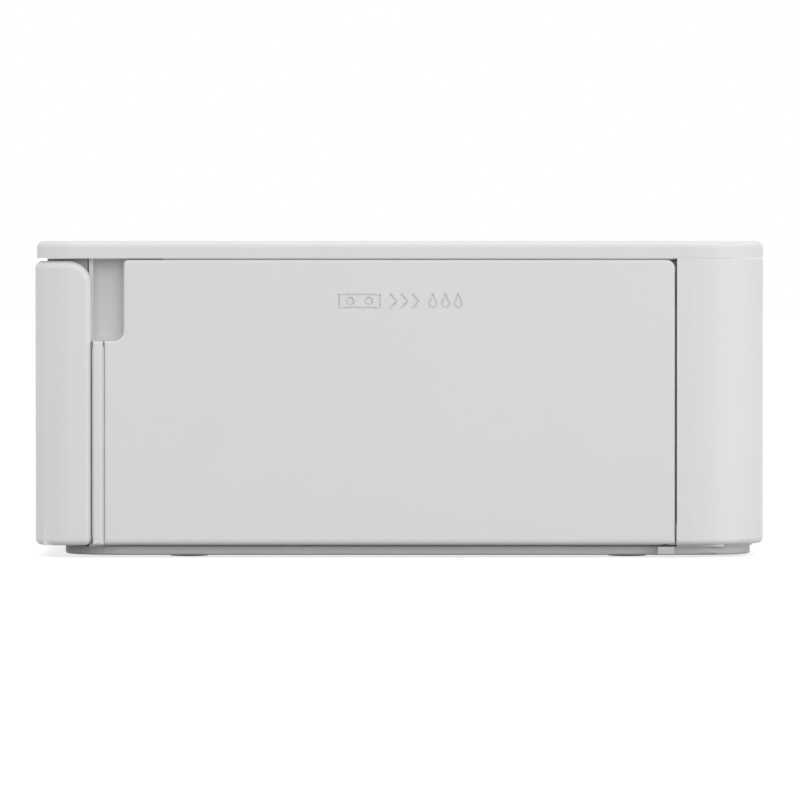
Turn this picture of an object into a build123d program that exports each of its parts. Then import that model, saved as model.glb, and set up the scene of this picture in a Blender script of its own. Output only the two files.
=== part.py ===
"""Compact photo printer: a white box with a hinged ink door on its right side.

The frame: X is the width (+X is the printer's right side), Y the depth (the front is at -Y),
Z the height.  The origin lies under the middle of the printer, on the surface it stands on.
All sizes are in millimetres.
"""
import os
from math import acos, atan2, cos, degrees, hypot, pi, radians, sin

from build123d import *

# --- overall size -----------------------------------------------------------------------
BODY_WIDTH = 182.2
BODY_DEPTH = 133.0
BODY_HEIGHT = 57.6
FRONT_CORNER_R = 6.5
REAR_CORNER_R = 13.5
SHELL_WALL = 2.0

# --- general clearances -----------------------------------------------------------------
RUNNING_FIT = 0.05        # radial play of a pin or shaft in its bore
PLAY = 0.3                # between pieces that pass each other
PAST = 1.0                # how far a cut runs past the face that it opens

# --- base and feet ----------------------------------------------------------------------
FOOT_HEIGHT = 0.45        # how far the feet stand out below the base
FOOT_RADIUS = 3.55
FOOT_SIDE_INSET = 13.1
FOOT_FRONT_INSET = 27.85
FOOT_REAR_INSET = 24.9
FOOT_SINK = 0.5           # how deep a foot is let into the base
BASE_THICKNESS = 1.55
BASE_INSET = 2.4          # base edge inside the shell's outer face
BASE_FRONT_INSET = 5.25
BASE_CORNER_R = 10.5
BASE_EDGE_R = 0.45

# --- top cover --------------------------------------------------------------------------
TOP_HEIGHT = 3.1          # height of the top cover's rim
TOP_PLATE = 1.8
TOP_RIM = 1.6
TOP_EDGE_R = 1.2
TOP_FRONT_INSET = 0.3     # the top cover ends this far behind the front cover's face

# --- shell seams ------------------------------------------------------------------------
CASING_FRONT_INSET = 10.7
CASING_SEAM = 0.1         # between casing and top cover
CASING_BOTTOM_GAP = 0.34  # the shell's lower edge stands this far above the base
CASING_EDGE_R = 1.0
FLANGE_WIDTH = 4.0
FLANGE_HEIGHT = 1.4

# --- ink door ---------------------------------------------------------------------------
STRIP_WIDTH = 1.84        # fixed strip between the front cover and the door
DOOR_FRONT_GAP = 0.24
DOOR_REAR_INSET = 16.54
DOOR_WALL = 2.0
DOOR_TOP_GAP = 0.32
DOOR_BOTTOM_GAP = 0.16
DOOR_REAR_GAP = 0.38
DOOR_EDGE_R = 0.5
DOOR_TOP_REAR_R = 1.6
DOOR_BOTTOM_FRONT_R = 0.6
DOOR_HINGE_INSET_X = 1.1  # hinge axis inside the door's outer face
DOOR_HINGE_INSET_Y = 1.6  # hinge axis in front of the door's rear edge
DOOR_PIN_R = 0.6
DOOR_PIN_DEPTH = 3.0      # pressed into the door
DOOR_PIN_REACH = 1.3      # standing out of the door's ends
DOOR_BOSS_R = 1.5
DOOR_RIB_GAP = 0.18       # between the door's rear edge and the casing's foot rib
DOOR_RIB_HEIGHT = 3.96

# --- finger notch -----------------------------------------------------------------------
NOTCH_HEIGHT = 15.1       # below the top cover's rim
NOTCH_BITE = 3.52         # how far the notch reaches into the door
NOTCH_DEPTH = 4.8
NOTCH_CORNER_R = 1.9
NOTCH_LIP_R = 0.9
NOTCH_FLOOR_R = 1.4
NOTCH_WALL = 1.2

# --- front cover ------------------------------------------------------------------------
COVER_WALL = 1.6
COVER_REAR_GAP = 0.3      # in front of the casing
COVER_BOTTOM_GAP = 0.25   # above the base
COVER_TOP_GAP = 0.56
COVER_TOP_CORNER_R = 4.2
COVER_FOOT_CORNER_R = 1.3
COVER_EDGE_R = 1.1
COVER_HINGE_INSET = 3.4   # hinge axis behind the cover's face
COVER_HINGE_RISE = 1.45   # hinge axis above the cover's lower edge
COVER_PIN_R = 0.75
COVER_BOSS_R = 1.45
COVER_LUG_R = 1.5
COVER_LUG_INSET = 7.1     # inner end of a hinge lug inside the cover's side
COVER_LUG_WIDTH = 2.2
COVER_BOSS_GAP = 0.2
COVER_PIN_LENGTH = 5.0
FRAME_HINGE_DROP = 0.9    # how far the front frame reaches below the hinge axis

# --- front frame and paper bay ----------------------------------------------------------
FRAME_GAP = 0.6           # behind the closed front cover
FRAME_SIDE_GAP = 0.9
FRAME_WALL = 1.6
FRAME_REAR_GAP = 1.0      # in front of the casing
FRAME_CORNER_R = 4.3
MECHANISM_X = 10.0        # middle of the paper path
PAPER_BAY_WIDTH = 112.0
PAPER_BAY_RISE = 4.5      # bay's floor above the base
PAPER_BAY_END = 3.0       # bay's end behind the pickup arm's pivot
TUNNEL_WALL = 1.2
TUNNEL_GAP = 1.0          # between the bay's end and the paper guides
PICKUP_WINDOW_WIDTH = 56.0
PICKUP_WINDOW_MARGIN = 2.0

# --- side frame behind the ink door ------------------------------------------------------
SIDE_FRAME_GAP = 1.2      # behind the closed door
SIDE_FRAME_WALL = 1.4
SIDE_FRAME_MARGIN = 3.0   # behind the ink bay
INK_BAY_GAP = 1.1         # round the cassette's spool housings
INK_BAY_DROP = 1.7        # below the cassette's beam
INK_BAY_RISE = 2.6        # above the spool housings
INK_BAY_CORNER_R = 3.0

# --- paper path -------------------------------------------------------------------------
PAPER_DROP = 15.0         # paper below the spools' axes
PAPER_WIDTH = 102.0
GUIDE_THICKNESS = 1.0
GUIDE_GAP = 0.2           # guide plates lie this far under the paper
GUIDE_PAD = 8.0           # length of a pad that carries the cassette's beam
PLATEN_TO_CAPSTAN = 42.0  # distances along Y
PLATEN_R = 6.0
PLATEN_SHAFT_R = 2.5
CAPSTAN_REAR_INSET = 10.5
CAPSTAN_R = 3.0
CAPSTAN_SHAFT_R = 1.8
PINCH_R = 4.0
PINCH_SHAFT_R = 1.5
PINCH_GAP = 0.3           # room for the paper under the pinch roller
REAR_SLOT_WIDTH = 106.0
REAR_SLOT_HEIGHT = 5.2
ROLLER_END_GAP = 1.0

# --- chassis ----------------------------------------------------------------------------
SHEET = 1.0
CHASSIS_WIDTH = 121.0     # over the two side plates
CHASSIS_FRONT_MARGIN = 6.0   # in front of the pickup arm's pivot
CHASSIS_REAR_MARGIN = 4.0    # behind the capstan
GEAR_SPACE = 20.0         # between the outer faces of the left plate and the gear plate
GEAR_PLATE_REACH = 16.0   # in front of the platen

# --- gears ------------------------------------------------------------------------------
MODULE = 0.8
MESH_GAP = 0.1            # added to each centre distance
TOOTH_SHARE = 0.36        # tooth thickness at the pitch circle, share of the pitch
TOOTH_FOOT_SHARE = 1.35   # tooth thickness at the root circle, against the pitch circle
TOOTH_TIP_SHARE = 0.55    # tooth thickness at the tip, against the pitch circle
TOOTH_HEIGHT_SHARE = 0.8  # tooth above the pitch circle, share of the module
GEAR_WIDTH = 3.0
CAPSTAN_TEETH = 12
IDLER_TEETH = 35
PLATEN_TEETH = 24
FEED_PINION_TEETH = 8
CAM_TEETH = 20
CAM_PINION_TEETH = 10
HUB_TEETH = 16
RIBBON_PINION_TEETH = 8
FEED_LAYER_GAP = 4.5      # between the gear plate and the feed gears
GEAR_LAYER_GAP = 1.0
HUB_LAYER_GAP = 2.1       # between the hub gear and the left plate
FEED_PINION_ANGLE = 40.0
CAM_PINION_ANGLE = 140.0
RIBBON_PINION_ANGLE = 135.0

# --- motors -----------------------------------------------------------------------------
FEED_MOTOR_R = 10.0
FEED_MOTOR_LENGTH = 13.0
CAM_MOTOR_R = 7.5
CAM_MOTOR_LENGTH = 12.0
RIBBON_MOTOR_R = 6.0
RIBBON_MOTOR_LENGTH = 10.6
MOTOR_FLANGE = 1.0
MOTOR_EAR_REACH = 3.5
MOTOR_SHAFT_R = 1.0
MOTOR_BEARING = 2.0       # depth of the bearing hole in a motor's end

# --- print head -------------------------------------------------------------------------
HEAD_PIVOT_TO_PLATEN = 40.0
HEAD_PIVOT_DROP = 3.5     # pivot below the chassis top
HEAD_PIVOT_R = 1.8
HEAD_BOSS_R = 3.0
HEAD_BOSS_LENGTH = 4.0
HEAD_PLATE_DROP = 2.0     # plate's underside below the chassis top
HEAD_PLATE_THICKNESS = 1.2
HEAD_PLATE_REACH = 2.0    # behind the cam's axis
HEAD_LIFT_ANGLE = 4.3
HEAD_TIP_OFFSET = 1.6     # head behind the platen's axis
HEAD_TIP_RISE = 3.5       # lifted head above the ribbon
HEAD_LENGTH = PAPER_WIDTH    # the head prints right across the sheet
HEAD_WIDTH = 11.0
HEAD_THICKNESS = 2.4
HEAT_SINK_FINS = 5
HEAT_SINK_FIN = 1.0
HEAT_SINK_BASE = 4.0
CAM_TO_PLATEN = 6.0
CAM_DROP = 11.0           # cam's axis below the follower pin
CAM_FOLLOWER_DROP = 7.5   # follower pin below the chassis top
CAM_FOLLOWER_R = 1.5
FOLLOWER_ARM = 4.0        # arm in front of the follower pin, and twice its depth below it
CAM_TURN = 150.0
CAM_DWELL = 15.0          # angle past each end of the cam's travel
CAM_SHAFT_R = 1.5
CAM_WIDTH = 3.0
CAM_POINTS = 24

# --- ink cassette -----------------------------------------------------------------------
SUPPLY_TO_PLATEN = 26.0
TAKEUP_TO_PLATEN = 24.0
SPOOL_DROP = 14.0         # spools' axes below the chassis top
SPOOL_HOUSING_R = 10.5
SPOOL_HOUSING_WALL = 1.0
SPOOL_JOURNAL_R = 5.0
SPOOL_FLANGE = 1.2
SUPPLY_ROLL_R = 8.0
TAKEUP_ROLL_R = 5.4
CASSETTE_LEFT_GAP = 3.5   # inside the left side plate
CASSETTE_RIGHT_GAP = 7.5  # inside the side frame
CASSETTE_END = 2.0
CASSETTE_END_GAP = 3.0    # between the ribbon's edge and the cassette's outer end
CASSETTE_WEB = 8.0
CASSETTE_SHELL_WALL = 1.5
CASSETTE_PAPER_GAP = 0.8
CASSETTE_BEAM = 2.8       # height of the beam along the cassette's ends
RIBBON_PAPER_GAP = 0.5
RIBBON_THICKNESS = 0.1
RIBBON_BAR_R = 1.2
RIBBON_BAR_SPACING = 18.0
RIBBON_SLIT = 3.2
FILM_OFFSET = 0.15        # middle of the ribbon off the rolls and bars
HUB_R = 2.5
HUB_FIN_R = 3.5
HUB_FIN = 0.8
HUB_FINS = 3
HUB_SOCKET_R = 3.9
HUB_SHAFT_R = 1.8
HUB_REACH = 3.2           # how far the hub enters the take-up spool

# --- pickup -----------------------------------------------------------------------------
PICKUP_PIVOT_GAP = 1.0    # in front of the head's pivot
PICKUP_RISE = 1.1         # rollers above the paper
PICKUP_ARM_LENGTH = 17.0
PICKUP_ROLLER_R = 7.0
PICKUP_ROLLER_WIDTH = 7.0
PICKUP_ROLLER_SPACING = 42.0
PICKUP_SHAFT_R = 1.4
PICKUP_TUBE_R = 2.6
PICKUP_ARM_SPACING = 30.0
PICKUP_ARM_THICKNESS = 2.0

# --- display and buttons ----------------------------------------------------------------
WINDOW_SIDE_INSET = 14.1
WINDOW_Y = -6.0
WINDOW_WIDTH = 86.0
WINDOW_DEPTH = 62.0
WINDOW_THICKNESS = 0.7
WINDOW_CORNER_R = 2.5
WINDOW_GAP = 0.1
WINDOW_LEDGE = 3.0
DISPLAY_WIDTH = 82.0
DISPLAY_DEPTH = 58.0
DISPLAY_THICKNESS = 3.0
PANEL_SIDE_INSET = 37.1   # middle of the button panel inside the right side
PANEL_Y = -4.0
KEY_GAP = 0.25
KEY_SINK = 0.1            # key tops lie this far below the top cover's face
KEY_FLANGE = 0.8
KEY_FLANGE_DROP = 0.3     # flange below the top cover's underside
KEY_FLANGE_HEIGHT = 0.8
KEY_TRAVEL = 0.6
KEY_EDGE_R = 0.3
OK_R = 5.8
RING_INNER_R = 8.0
RING_OUTER_R = 15.0
RING_GAP = 3.0
POWER_R = 4.2
SMALL_KEY = (11.0, 6.0)
PRINT_KEY = (18.0, 8.0)
PRINT_KEY_INSET = 3.0     # inside the column of the right-hand keys
KEY_CORNER_R = 2.4
KEY_ROW_DY = 29.0
KEY_COLUMN_DX = 17.0
BOARD_THICKNESS = 1.0
BOARD_SIZE = (60.0, 74.0)  # the board under the buttons
SWITCH_SIZE = 4.0
SWITCH_HEIGHT = 1.2
SWITCH_GAP = 0.1

# --- electronics ------------------------------------------------------------------------
MAIN_BOARD_DROP = 22.0    # board's underside below the fan's axis
MAIN_BOARD_SIDE_INSET = 6.6
MAIN_BOARD_FRONT_INSET = 12.5
MAIN_BOARD_WIDTH = 31.5
MAIN_BOARD_REAR_GAP = 3.0 # in front of the gear plate
BOARD_POST_R = 2.5
CHIPS = [                 # place from the board's right and rear edges, side, height
    ((17.0, 9.0), 12.0, 1.2),
    ((7.0, 23.0), 6.0, 1.0),
    ((5.0, 7.0), 5.0, 5.0),
]
CARD_SLOT = (24.0, 26.0, 3.0)
CARD_SLOT_INSET = 18.0    # from the board's front edge
CARD_MOUTH_GAP = 0.4      # the mouth is wider than the socket at each end
CARD_MOUTH_HEIGHT = 2.6
USB_PORT = (8.0, 9.0, 3.3)
USB_PORT_INSET = 9.0      # from the board's rear edge
USB_SHELL_WALL = 0.4
JACK_SIDE_INSET = 14.1
JACK_RISE = 8.5           # jack's axis above the base
JACK_SIZE = (9.0, 11.0, 10.0)
JACK_REAR_GAP = 1.5       # between the jack's body and the rear wall
JACK_SEAT_DEPTH = 7.0
JACK_BORE_R = 2.9
JACK_BORE_DEPTH = 10.0
JACK_PIN_R = 0.8
JACK_MOUTH_R = 3.6

# --- fan --------------------------------------------------------------------------------
FAN_SIZE = 30.0
FAN_THICKNESS = 8.0
FAN_CORNER_R = 2.0
FAN_HOLE_INSET = 2.5
FAN_Y = -19.0
FAN_DROP = 18.5           # fan's axis below the top cover's rim
FAN_BORE_R = 13.6
FAN_HUB_R = 6.0
FAN_BLADE_GAP = 0.5
FAN_BLADES = 7
FAN_BLADE_PITCH = 35.0
FAN_BLADE = 0.9
FAN_BLADE_SHARE = 0.8     # blade width, share of the rotor's depth
FAN_STRUTS = 3
FAN_STRUT = 1.4
FAN_STRUT_DEPTH = 2.0
FAN_PIN_R = 1.0
VENT_SLOT = (2.0, 22.0)
VENT_PITCH = 4.0
VENT_COUNT = 6

# --- screws -----------------------------------------------------------------------------
SCREW_R = 1.2
SCREW_HEAD_R = 2.4
SCREW_HEAD_HEIGHT = 0.8
SCREW_LENGTH = 6.0
SCREW_BOSS_R = 2.8
BOSS_HEIGHT = 7.0
SCREW_SIDE_INSET = 9.1
LEFT_SCREWS_Y = (-28.0, 30.0)
RIGHT_SCREW_FRONT_INSET = 7.8   # behind the casing's front edge
RIGHT_SCREW_REAR_INSET = 10.5

# --- places worked out from the sizes above ----------------------------------------------
HALF_W = BODY_WIDTH / 2
FRONT_Y = -BODY_DEPTH / 2
REAR_Y = BODY_DEPTH / 2
INNER_X = HALF_W - SHELL_WALL
TOP_Z0 = BODY_HEIGHT - TOP_HEIGHT            # lower edge of the top cover
TOP_UNDER = BODY_HEIGHT - TOP_PLATE          # underside of the top cover's plate
FOOT_X = HALF_W - FOOT_SIDE_INSET
FOOT_FRONT_Y = FRONT_Y + FOOT_FRONT_INSET
FOOT_REAR_Y = REAR_Y - FOOT_REAR_INSET
BASE_TOP = FOOT_HEIGHT + BASE_THICKNESS
BASE_HALF_W = HALF_W - BASE_INSET
BASE_FRONT_Y = FRONT_Y + BASE_FRONT_INSET
CASING_FRONT_Y = FRONT_Y + CASING_FRONT_INSET
CASING_Z0 = BASE_TOP + CASING_BOTTOM_GAP
CASING_Z1 = TOP_Z0 - CASING_SEAM
STRIP_REAR_Y = CASING_FRONT_Y + STRIP_WIDTH
DOOR_FRONT_Y = STRIP_REAR_Y + DOOR_FRONT_GAP
DOOR_REAR_Y = REAR_Y - DOOR_REAR_INSET
DOOR_Z0 = BASE_TOP + DOOR_BOTTOM_GAP
DOOR_Z1 = TOP_Z0 - DOOR_TOP_GAP
DOOR_INNER_X = HALF_W - DOOR_WALL
DOOR_HINGE_X = HALF_W - DOOR_HINGE_INSET_X
DOOR_HINGE_Y = DOOR_REAR_Y - DOOR_HINGE_INSET_Y
CASING_RIGHT_Y = DOOR_REAR_Y + DOOR_REAR_GAP
SIDE_X1 = DOOR_INNER_X - SIDE_FRAME_GAP      # outer face of the side frame's panel
SIDE_X0 = SIDE_X1 - SIDE_FRAME_WALL
NOTCH_BOTTOM_Z = TOP_Z0 - NOTCH_HEIGHT
NOTCH_REAR_Y = DOOR_FRONT_Y + NOTCH_BITE
NOTCH_FLOOR_X = HALF_W - NOTCH_DEPTH
COVER_REAR_Y = CASING_FRONT_Y - COVER_REAR_GAP
COVER_BOTTOM_Z = BASE_TOP + COVER_BOTTOM_GAP
COVER_TOP_Z = TOP_Z0 - COVER_TOP_GAP
COVER_HINGE_Y = FRONT_Y + COVER_HINGE_INSET
COVER_HINGE_Z = COVER_BOTTOM_Z + COVER_HINGE_RISE
COVER_LUG_X = HALF_W - COVER_LUG_INSET       # inner end of a hinge lug
COVER_SWEEP_R = hypot(COVER_BOSS_R + PLAY, COVER_BOSS_R) + 2 * PLAY   # room for the turning boss
FRAME_FRONT_Y = FRONT_Y + COVER_WALL + FRAME_GAP
FRAME_REAR_Y = CASING_FRONT_Y - FRAME_REAR_GAP
FRAME_HALF_W = HALF_W - COVER_WALL - FRAME_SIDE_GAP
BAY_X = (MECHANISM_X - PAPER_BAY_WIDTH / 2, MECHANISM_X + PAPER_BAY_WIDTH / 2)
PAPER_X = (MECHANISM_X - PAPER_WIDTH / 2, MECHANISM_X + PAPER_WIDTH / 2)
KEY_FLANGE_TOP = TOP_UNDER - KEY_FLANGE_DROP
KEY_FLANGE_BOTTOM = KEY_FLANGE_TOP - KEY_FLANGE_HEIGHT
SWITCH_TOP = KEY_FLANGE_BOTTOM - KEY_TRAVEL - SWITCH_GAP
BOARD_TOP = SWITCH_TOP - SWITCH_HEIGHT
CHASSIS_TOP_Z = BOARD_TOP - BOARD_THICKNESS - PLAY
CAPSTAN_Y = REAR_Y - CAPSTAN_REAR_INSET
PLATEN_Y = CAPSTAN_Y - PLATEN_TO_CAPSTAN
SUPPLY_Y = PLATEN_Y - SUPPLY_TO_PLATEN
TAKEUP_Y = PLATEN_Y + TAKEUP_TO_PLATEN
HEAD_PIVOT_Y = PLATEN_Y - HEAD_PIVOT_TO_PLATEN
HEAD_TIP_Y = PLATEN_Y + HEAD_TIP_OFFSET
CAM_Y = PLATEN_Y + CAM_TO_PLATEN
HEAD_PLATE_REAR_Y = CAM_Y + HEAD_PLATE_REACH
PICKUP_PIVOT_Y = HEAD_PIVOT_Y - PICKUP_PIVOT_GAP
PAPER_BAY_REAR_Y = PICKUP_PIVOT_Y + PAPER_BAY_END
SPOOL_Z = CHASSIS_TOP_Z - SPOOL_DROP
PAPER_Z = SPOOL_Z - PAPER_DROP
BAY_Z = (BASE_TOP + PAPER_BAY_RISE, PAPER_Z)
CHASSIS_FRONT_Y = PICKUP_PIVOT_Y - CHASSIS_FRONT_MARGIN
CHASSIS_REAR_Y = CAPSTAN_Y + CHASSIS_REAR_MARGIN
LEFT_PLATE_X = MECHANISM_X - CHASSIS_WIDTH / 2     # outer face of the left side plate
RIGHT_PLATE_X = MECHANISM_X + CHASSIS_WIDTH / 2    # outer face of the right side plate
GEAR_PLATE_X = LEFT_PLATE_X - GEAR_SPACE           # outer face of the gear plate
PLATE_IN = (LEFT_PLATE_X + SHEET, RIGHT_PLATE_X - SHEET)   # inner faces of the side plates
PAN_TOP = BASE_TOP + SHEET
FEED_LAYER_X = GEAR_PLATE_X + SHEET + FEED_LAYER_GAP
CAM_LAYER_X = FEED_LAYER_X + GEAR_WIDTH + GEAR_LAYER_GAP
HUB_LAYER_X = LEFT_PLATE_X - HUB_LAYER_GAP - GEAR_WIDTH
PLATEN_Z = PAPER_Z - PLATEN_R
CAPSTAN_Z = PAPER_Z - CAPSTAN_R
PINCH_Z = PAPER_Z + PINCH_GAP + PINCH_R
RIBBON_Z = PAPER_Z + RIBBON_PAPER_GAP
HEAD_PIVOT_Z = CHASSIS_TOP_Z - HEAD_PIVOT_DROP
HEAD_PIVOT = (HEAD_PIVOT_Y, HEAD_PIVOT_Z)
HEAD_PLATE_Z = CHASSIS_TOP_Z - HEAD_PLATE_DROP
HEAD_TIP_Z = RIBBON_Z + HEAD_TIP_RISE
CAM_FOLLOWER_Z = CHASSIS_TOP_Z - CAM_FOLLOWER_DROP
CAM_Z = CAM_FOLLOWER_Z - CAM_DROP
CASSETTE_BEAM_Z = PAPER_Z + CASSETTE_PAPER_GAP
CASSETTE_BEAM_TOP_Z = CASSETTE_BEAM_Z + CASSETTE_BEAM
CASSETTE_LEFT_X = PLATE_IN[0] + CASSETTE_LEFT_GAP
CASSETTE_BODY_X = PAPER_X[1] + CASSETTE_END_GAP    # where the outer end of the cassette begins
CASSETTE_RIGHT_X = SIDE_X0 - CASSETTE_RIGHT_GAP
INK_BAY_FRONT_Y = SUPPLY_Y - SPOOL_HOUSING_R - INK_BAY_GAP
INK_BAY_REAR_Y = TAKEUP_Y + SPOOL_HOUSING_R + INK_BAY_GAP
INK_BAY_BOTTOM_Z = CASSETTE_BEAM_Z - INK_BAY_DROP
INK_BAY_TOP_Z = SPOOL_Z + SPOOL_HOUSING_R + INK_BAY_RISE
SIDE_FRAME_REAR_Y = INK_BAY_REAR_Y + SIDE_FRAME_MARGIN
PICKUP_Y = PICKUP_PIVOT_Y - PICKUP_ARM_LENGTH
PICKUP_Z = BAY_Z[1] + PICKUP_RISE + PICKUP_ROLLER_R
PICKUP_WINDOW_FRONT_Y = PICKUP_Y - PICKUP_ROLLER_R - PICKUP_WINDOW_MARGIN
WINDOW_X = -HALF_W + WINDOW_SIDE_INSET + WINDOW_WIDTH / 2
WINDOW_RECESS_Z = BODY_HEIGHT - WINDOW_THICKNESS
DISPLAY_BOTTOM = TOP_UNDER - DISPLAY_THICKNESS
PANEL_X = HALF_W - PANEL_SIDE_INSET
BOARD_X = (PANEL_X - BOARD_SIZE[0] / 2, PANEL_X + BOARD_SIZE[0] / 2)
BOARD_Y = (PANEL_Y - BOARD_SIZE[1] / 2, PANEL_Y + BOARD_SIZE[1] / 2)
GEAR_PLATE_FRONT_Y = PLATEN_Y - GEAR_PLATE_REACH
MAIN_BOARD_LEFT_X = -HALF_W + MAIN_BOARD_SIDE_INSET
MAIN_BOARD_RIGHT_X = MAIN_BOARD_LEFT_X + MAIN_BOARD_WIDTH
MAIN_BOARD_FRONT_Y = FRONT_Y + MAIN_BOARD_FRONT_INSET
MAIN_BOARD_REAR_Y = GEAR_PLATE_FRONT_Y - MAIN_BOARD_REAR_GAP
FAN_Z = TOP_Z0 - FAN_DROP
MAIN_BOARD_Z = FAN_Z - MAIN_BOARD_DROP
MAIN_TOP = MAIN_BOARD_Z + BOARD_THICKNESS
CARD_SLOT_Y = MAIN_BOARD_FRONT_Y + CARD_SLOT_INSET
USB_PORT_Y = MAIN_BOARD_REAR_Y - USB_PORT_INSET
JACK_X = -HALF_W + JACK_SIDE_INSET
JACK_Z = BASE_TOP + JACK_RISE
JACK_REAR_Y = REAR_Y - SHELL_WALL - JACK_REAR_GAP
JACK_FRONT_Y = JACK_REAR_Y - JACK_SIZE[1]
SCREW_X = HALF_W - SCREW_SIDE_INSET
SHELL_SCREWS = [
    (-SCREW_X, LEFT_SCREWS_Y[0]),
    (-SCREW_X, LEFT_SCREWS_Y[1]),
    (SCREW_X, CASING_FRONT_Y + RIGHT_SCREW_FRONT_INSET),
    (SCREW_X, REAR_Y - RIGHT_SCREW_REAR_INSET),
]


def pitch_r(teeth):
    """Pitch radius of a gear."""
    return MODULE * teeth / 2


def gear_outer_r(teeth):
    """Tip radius of a gear."""
    return pitch_r(teeth) + MODULE * TOOTH_HEIGHT_SHARE


def centre_distance(teeth_a, teeth_b):
    """Distance between two meshing gears."""
    return pitch_r(teeth_a) + pitch_r(teeth_b) + MESH_GAP


def beside(centre, distance, angle):
    """The (y, z) point at a distance and an angle, from +Y towards +Z, from a centre."""
    return (centre[0] + distance * cos(radians(angle)), centre[1] + distance * sin(radians(angle)))


def bearing(start, end):
    """The angle of one (y, z) point seen from another."""
    return degrees(atan2(end[1] - start[1], end[0] - start[0]))


def mesh_phase(phase, teeth, mate_teeth, direction):
    """Tooth angle of a mate so that its gap faces a tooth of the first gear."""
    return direction + 180 - (phase - direction) * teeth / mate_teeth + 180 / mate_teeth


CAPSTAN = (CAPSTAN_Y, CAPSTAN_Z)
PLATEN = (PLATEN_Y, PLATEN_Z)
to_capstan = centre_distance(IDLER_TEETH, CAPSTAN_TEETH)
to_platen = centre_distance(IDLER_TEETH, PLATEN_TEETH)
span = hypot(CAPSTAN_Y - PLATEN_Y, CAPSTAN_Z - PLATEN_Z)
idler_turn = degrees(acos((to_capstan**2 + span**2 - to_platen**2) / (2 * to_capstan * span)))
IDLER = beside(CAPSTAN, to_capstan, bearing(CAPSTAN, PLATEN) - idler_turn)
FEED_PINION = beside(IDLER, centre_distance(IDLER_TEETH, FEED_PINION_TEETH), FEED_PINION_ANGLE)
CAM = (CAM_Y, CAM_Z)
CAM_PINION = beside(CAM, centre_distance(CAM_TEETH, CAM_PINION_TEETH), CAM_PINION_ANGLE)
HUB = (TAKEUP_Y, SPOOL_Z)
RIBBON_PINION = beside(HUB, centre_distance(HUB_TEETH, RIBBON_PINION_TEETH), RIBBON_PINION_ANGLE)


def block(x_span, y_span, z_span, mode=Mode.ADD):
    """A box between two values along each axis."""
    spans = (x_span, y_span, z_span)
    with Locations(tuple((low + high) / 2 for low, high in spans)):
        Box(*[high - low for low, high in spans], mode=mode)


def rod(x_span, centre, radius, mode=Mode.ADD):
    """A round bar along X, at a (y, z) centre."""
    with Locations(Location(((x_span[0] + x_span[1]) / 2, *centre), (0, 90, 0))):
        Cylinder(radius, x_span[1] - x_span[0], mode=mode)


def post(xy, z_span, radius, mode=Mode.ADD):
    """A round bar along Z."""
    with Locations((*xy, (z_span[0] + z_span[1]) / 2)):
        Cylinder(radius, z_span[1] - z_span[0], mode=mode)


def plate_plane(x):
    """A sketch plane across X, where sketch x is Y and sketch y is Z."""
    return Plane(origin=(x, 0, 0), x_dir=(0, 1, 0), z_dir=(1, 0, 0))


def outline(z, half_width, y_span, front_r, rear_r):
    """A plan outline with its own corner radius at the front and at the rear."""
    with BuildSketch(Plane.XY.offset(z)) as plan:
        with Locations((0, (y_span[0] + y_span[1]) / 2)):
            Rectangle(2 * half_width, y_span[1] - y_span[0])
        if front_r:
            fillet(plan.vertices().group_by(Axis.Y)[0], front_r)
        if rear_r:
            fillet(plan.vertices().group_by(Axis.Y)[-1], rear_r)
    return plan.sketch


def finish(built, name):
    """Label a finished piece and write it to its own file."""
    built.part.label = name
    export_step(built.part, f"parts/{name}.step")


def gear_face(centre, teeth, phase, x, bore=0.0):
    """A gear's face on a plane across X, with one tooth at the phase angle."""
    root = pitch_r(teeth) - MODULE
    tip = gear_outer_r(teeth)
    foot = root - MODULE / 4
    half_foot = TOOTH_SHARE * pi / teeth * TOOTH_FOOT_SHARE
    half_tip = TOOTH_SHARE * pi / teeth * TOOTH_TIP_SHARE
    with BuildSketch(plate_plane(x)) as face:
        with Locations(centre):
            Circle(root)
        for number in range(teeth):
            angle = radians(phase) + 2 * pi * number / teeth
            with BuildLine():
                Polyline(*[(centre[0] + radius * cos(angle + turn), centre[1] + radius * sin(angle + turn))
                           for radius, turn in ((foot, -half_foot), (tip, -half_tip),
                                                (tip, half_tip), (foot, half_foot))],
                         close=True)
            make_face()
        if bore:
            with Locations(centre):
                Circle(bore, mode=Mode.SUBTRACT)
    return face.sketch


os.makedirs("parts", exist_ok=True)

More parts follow.
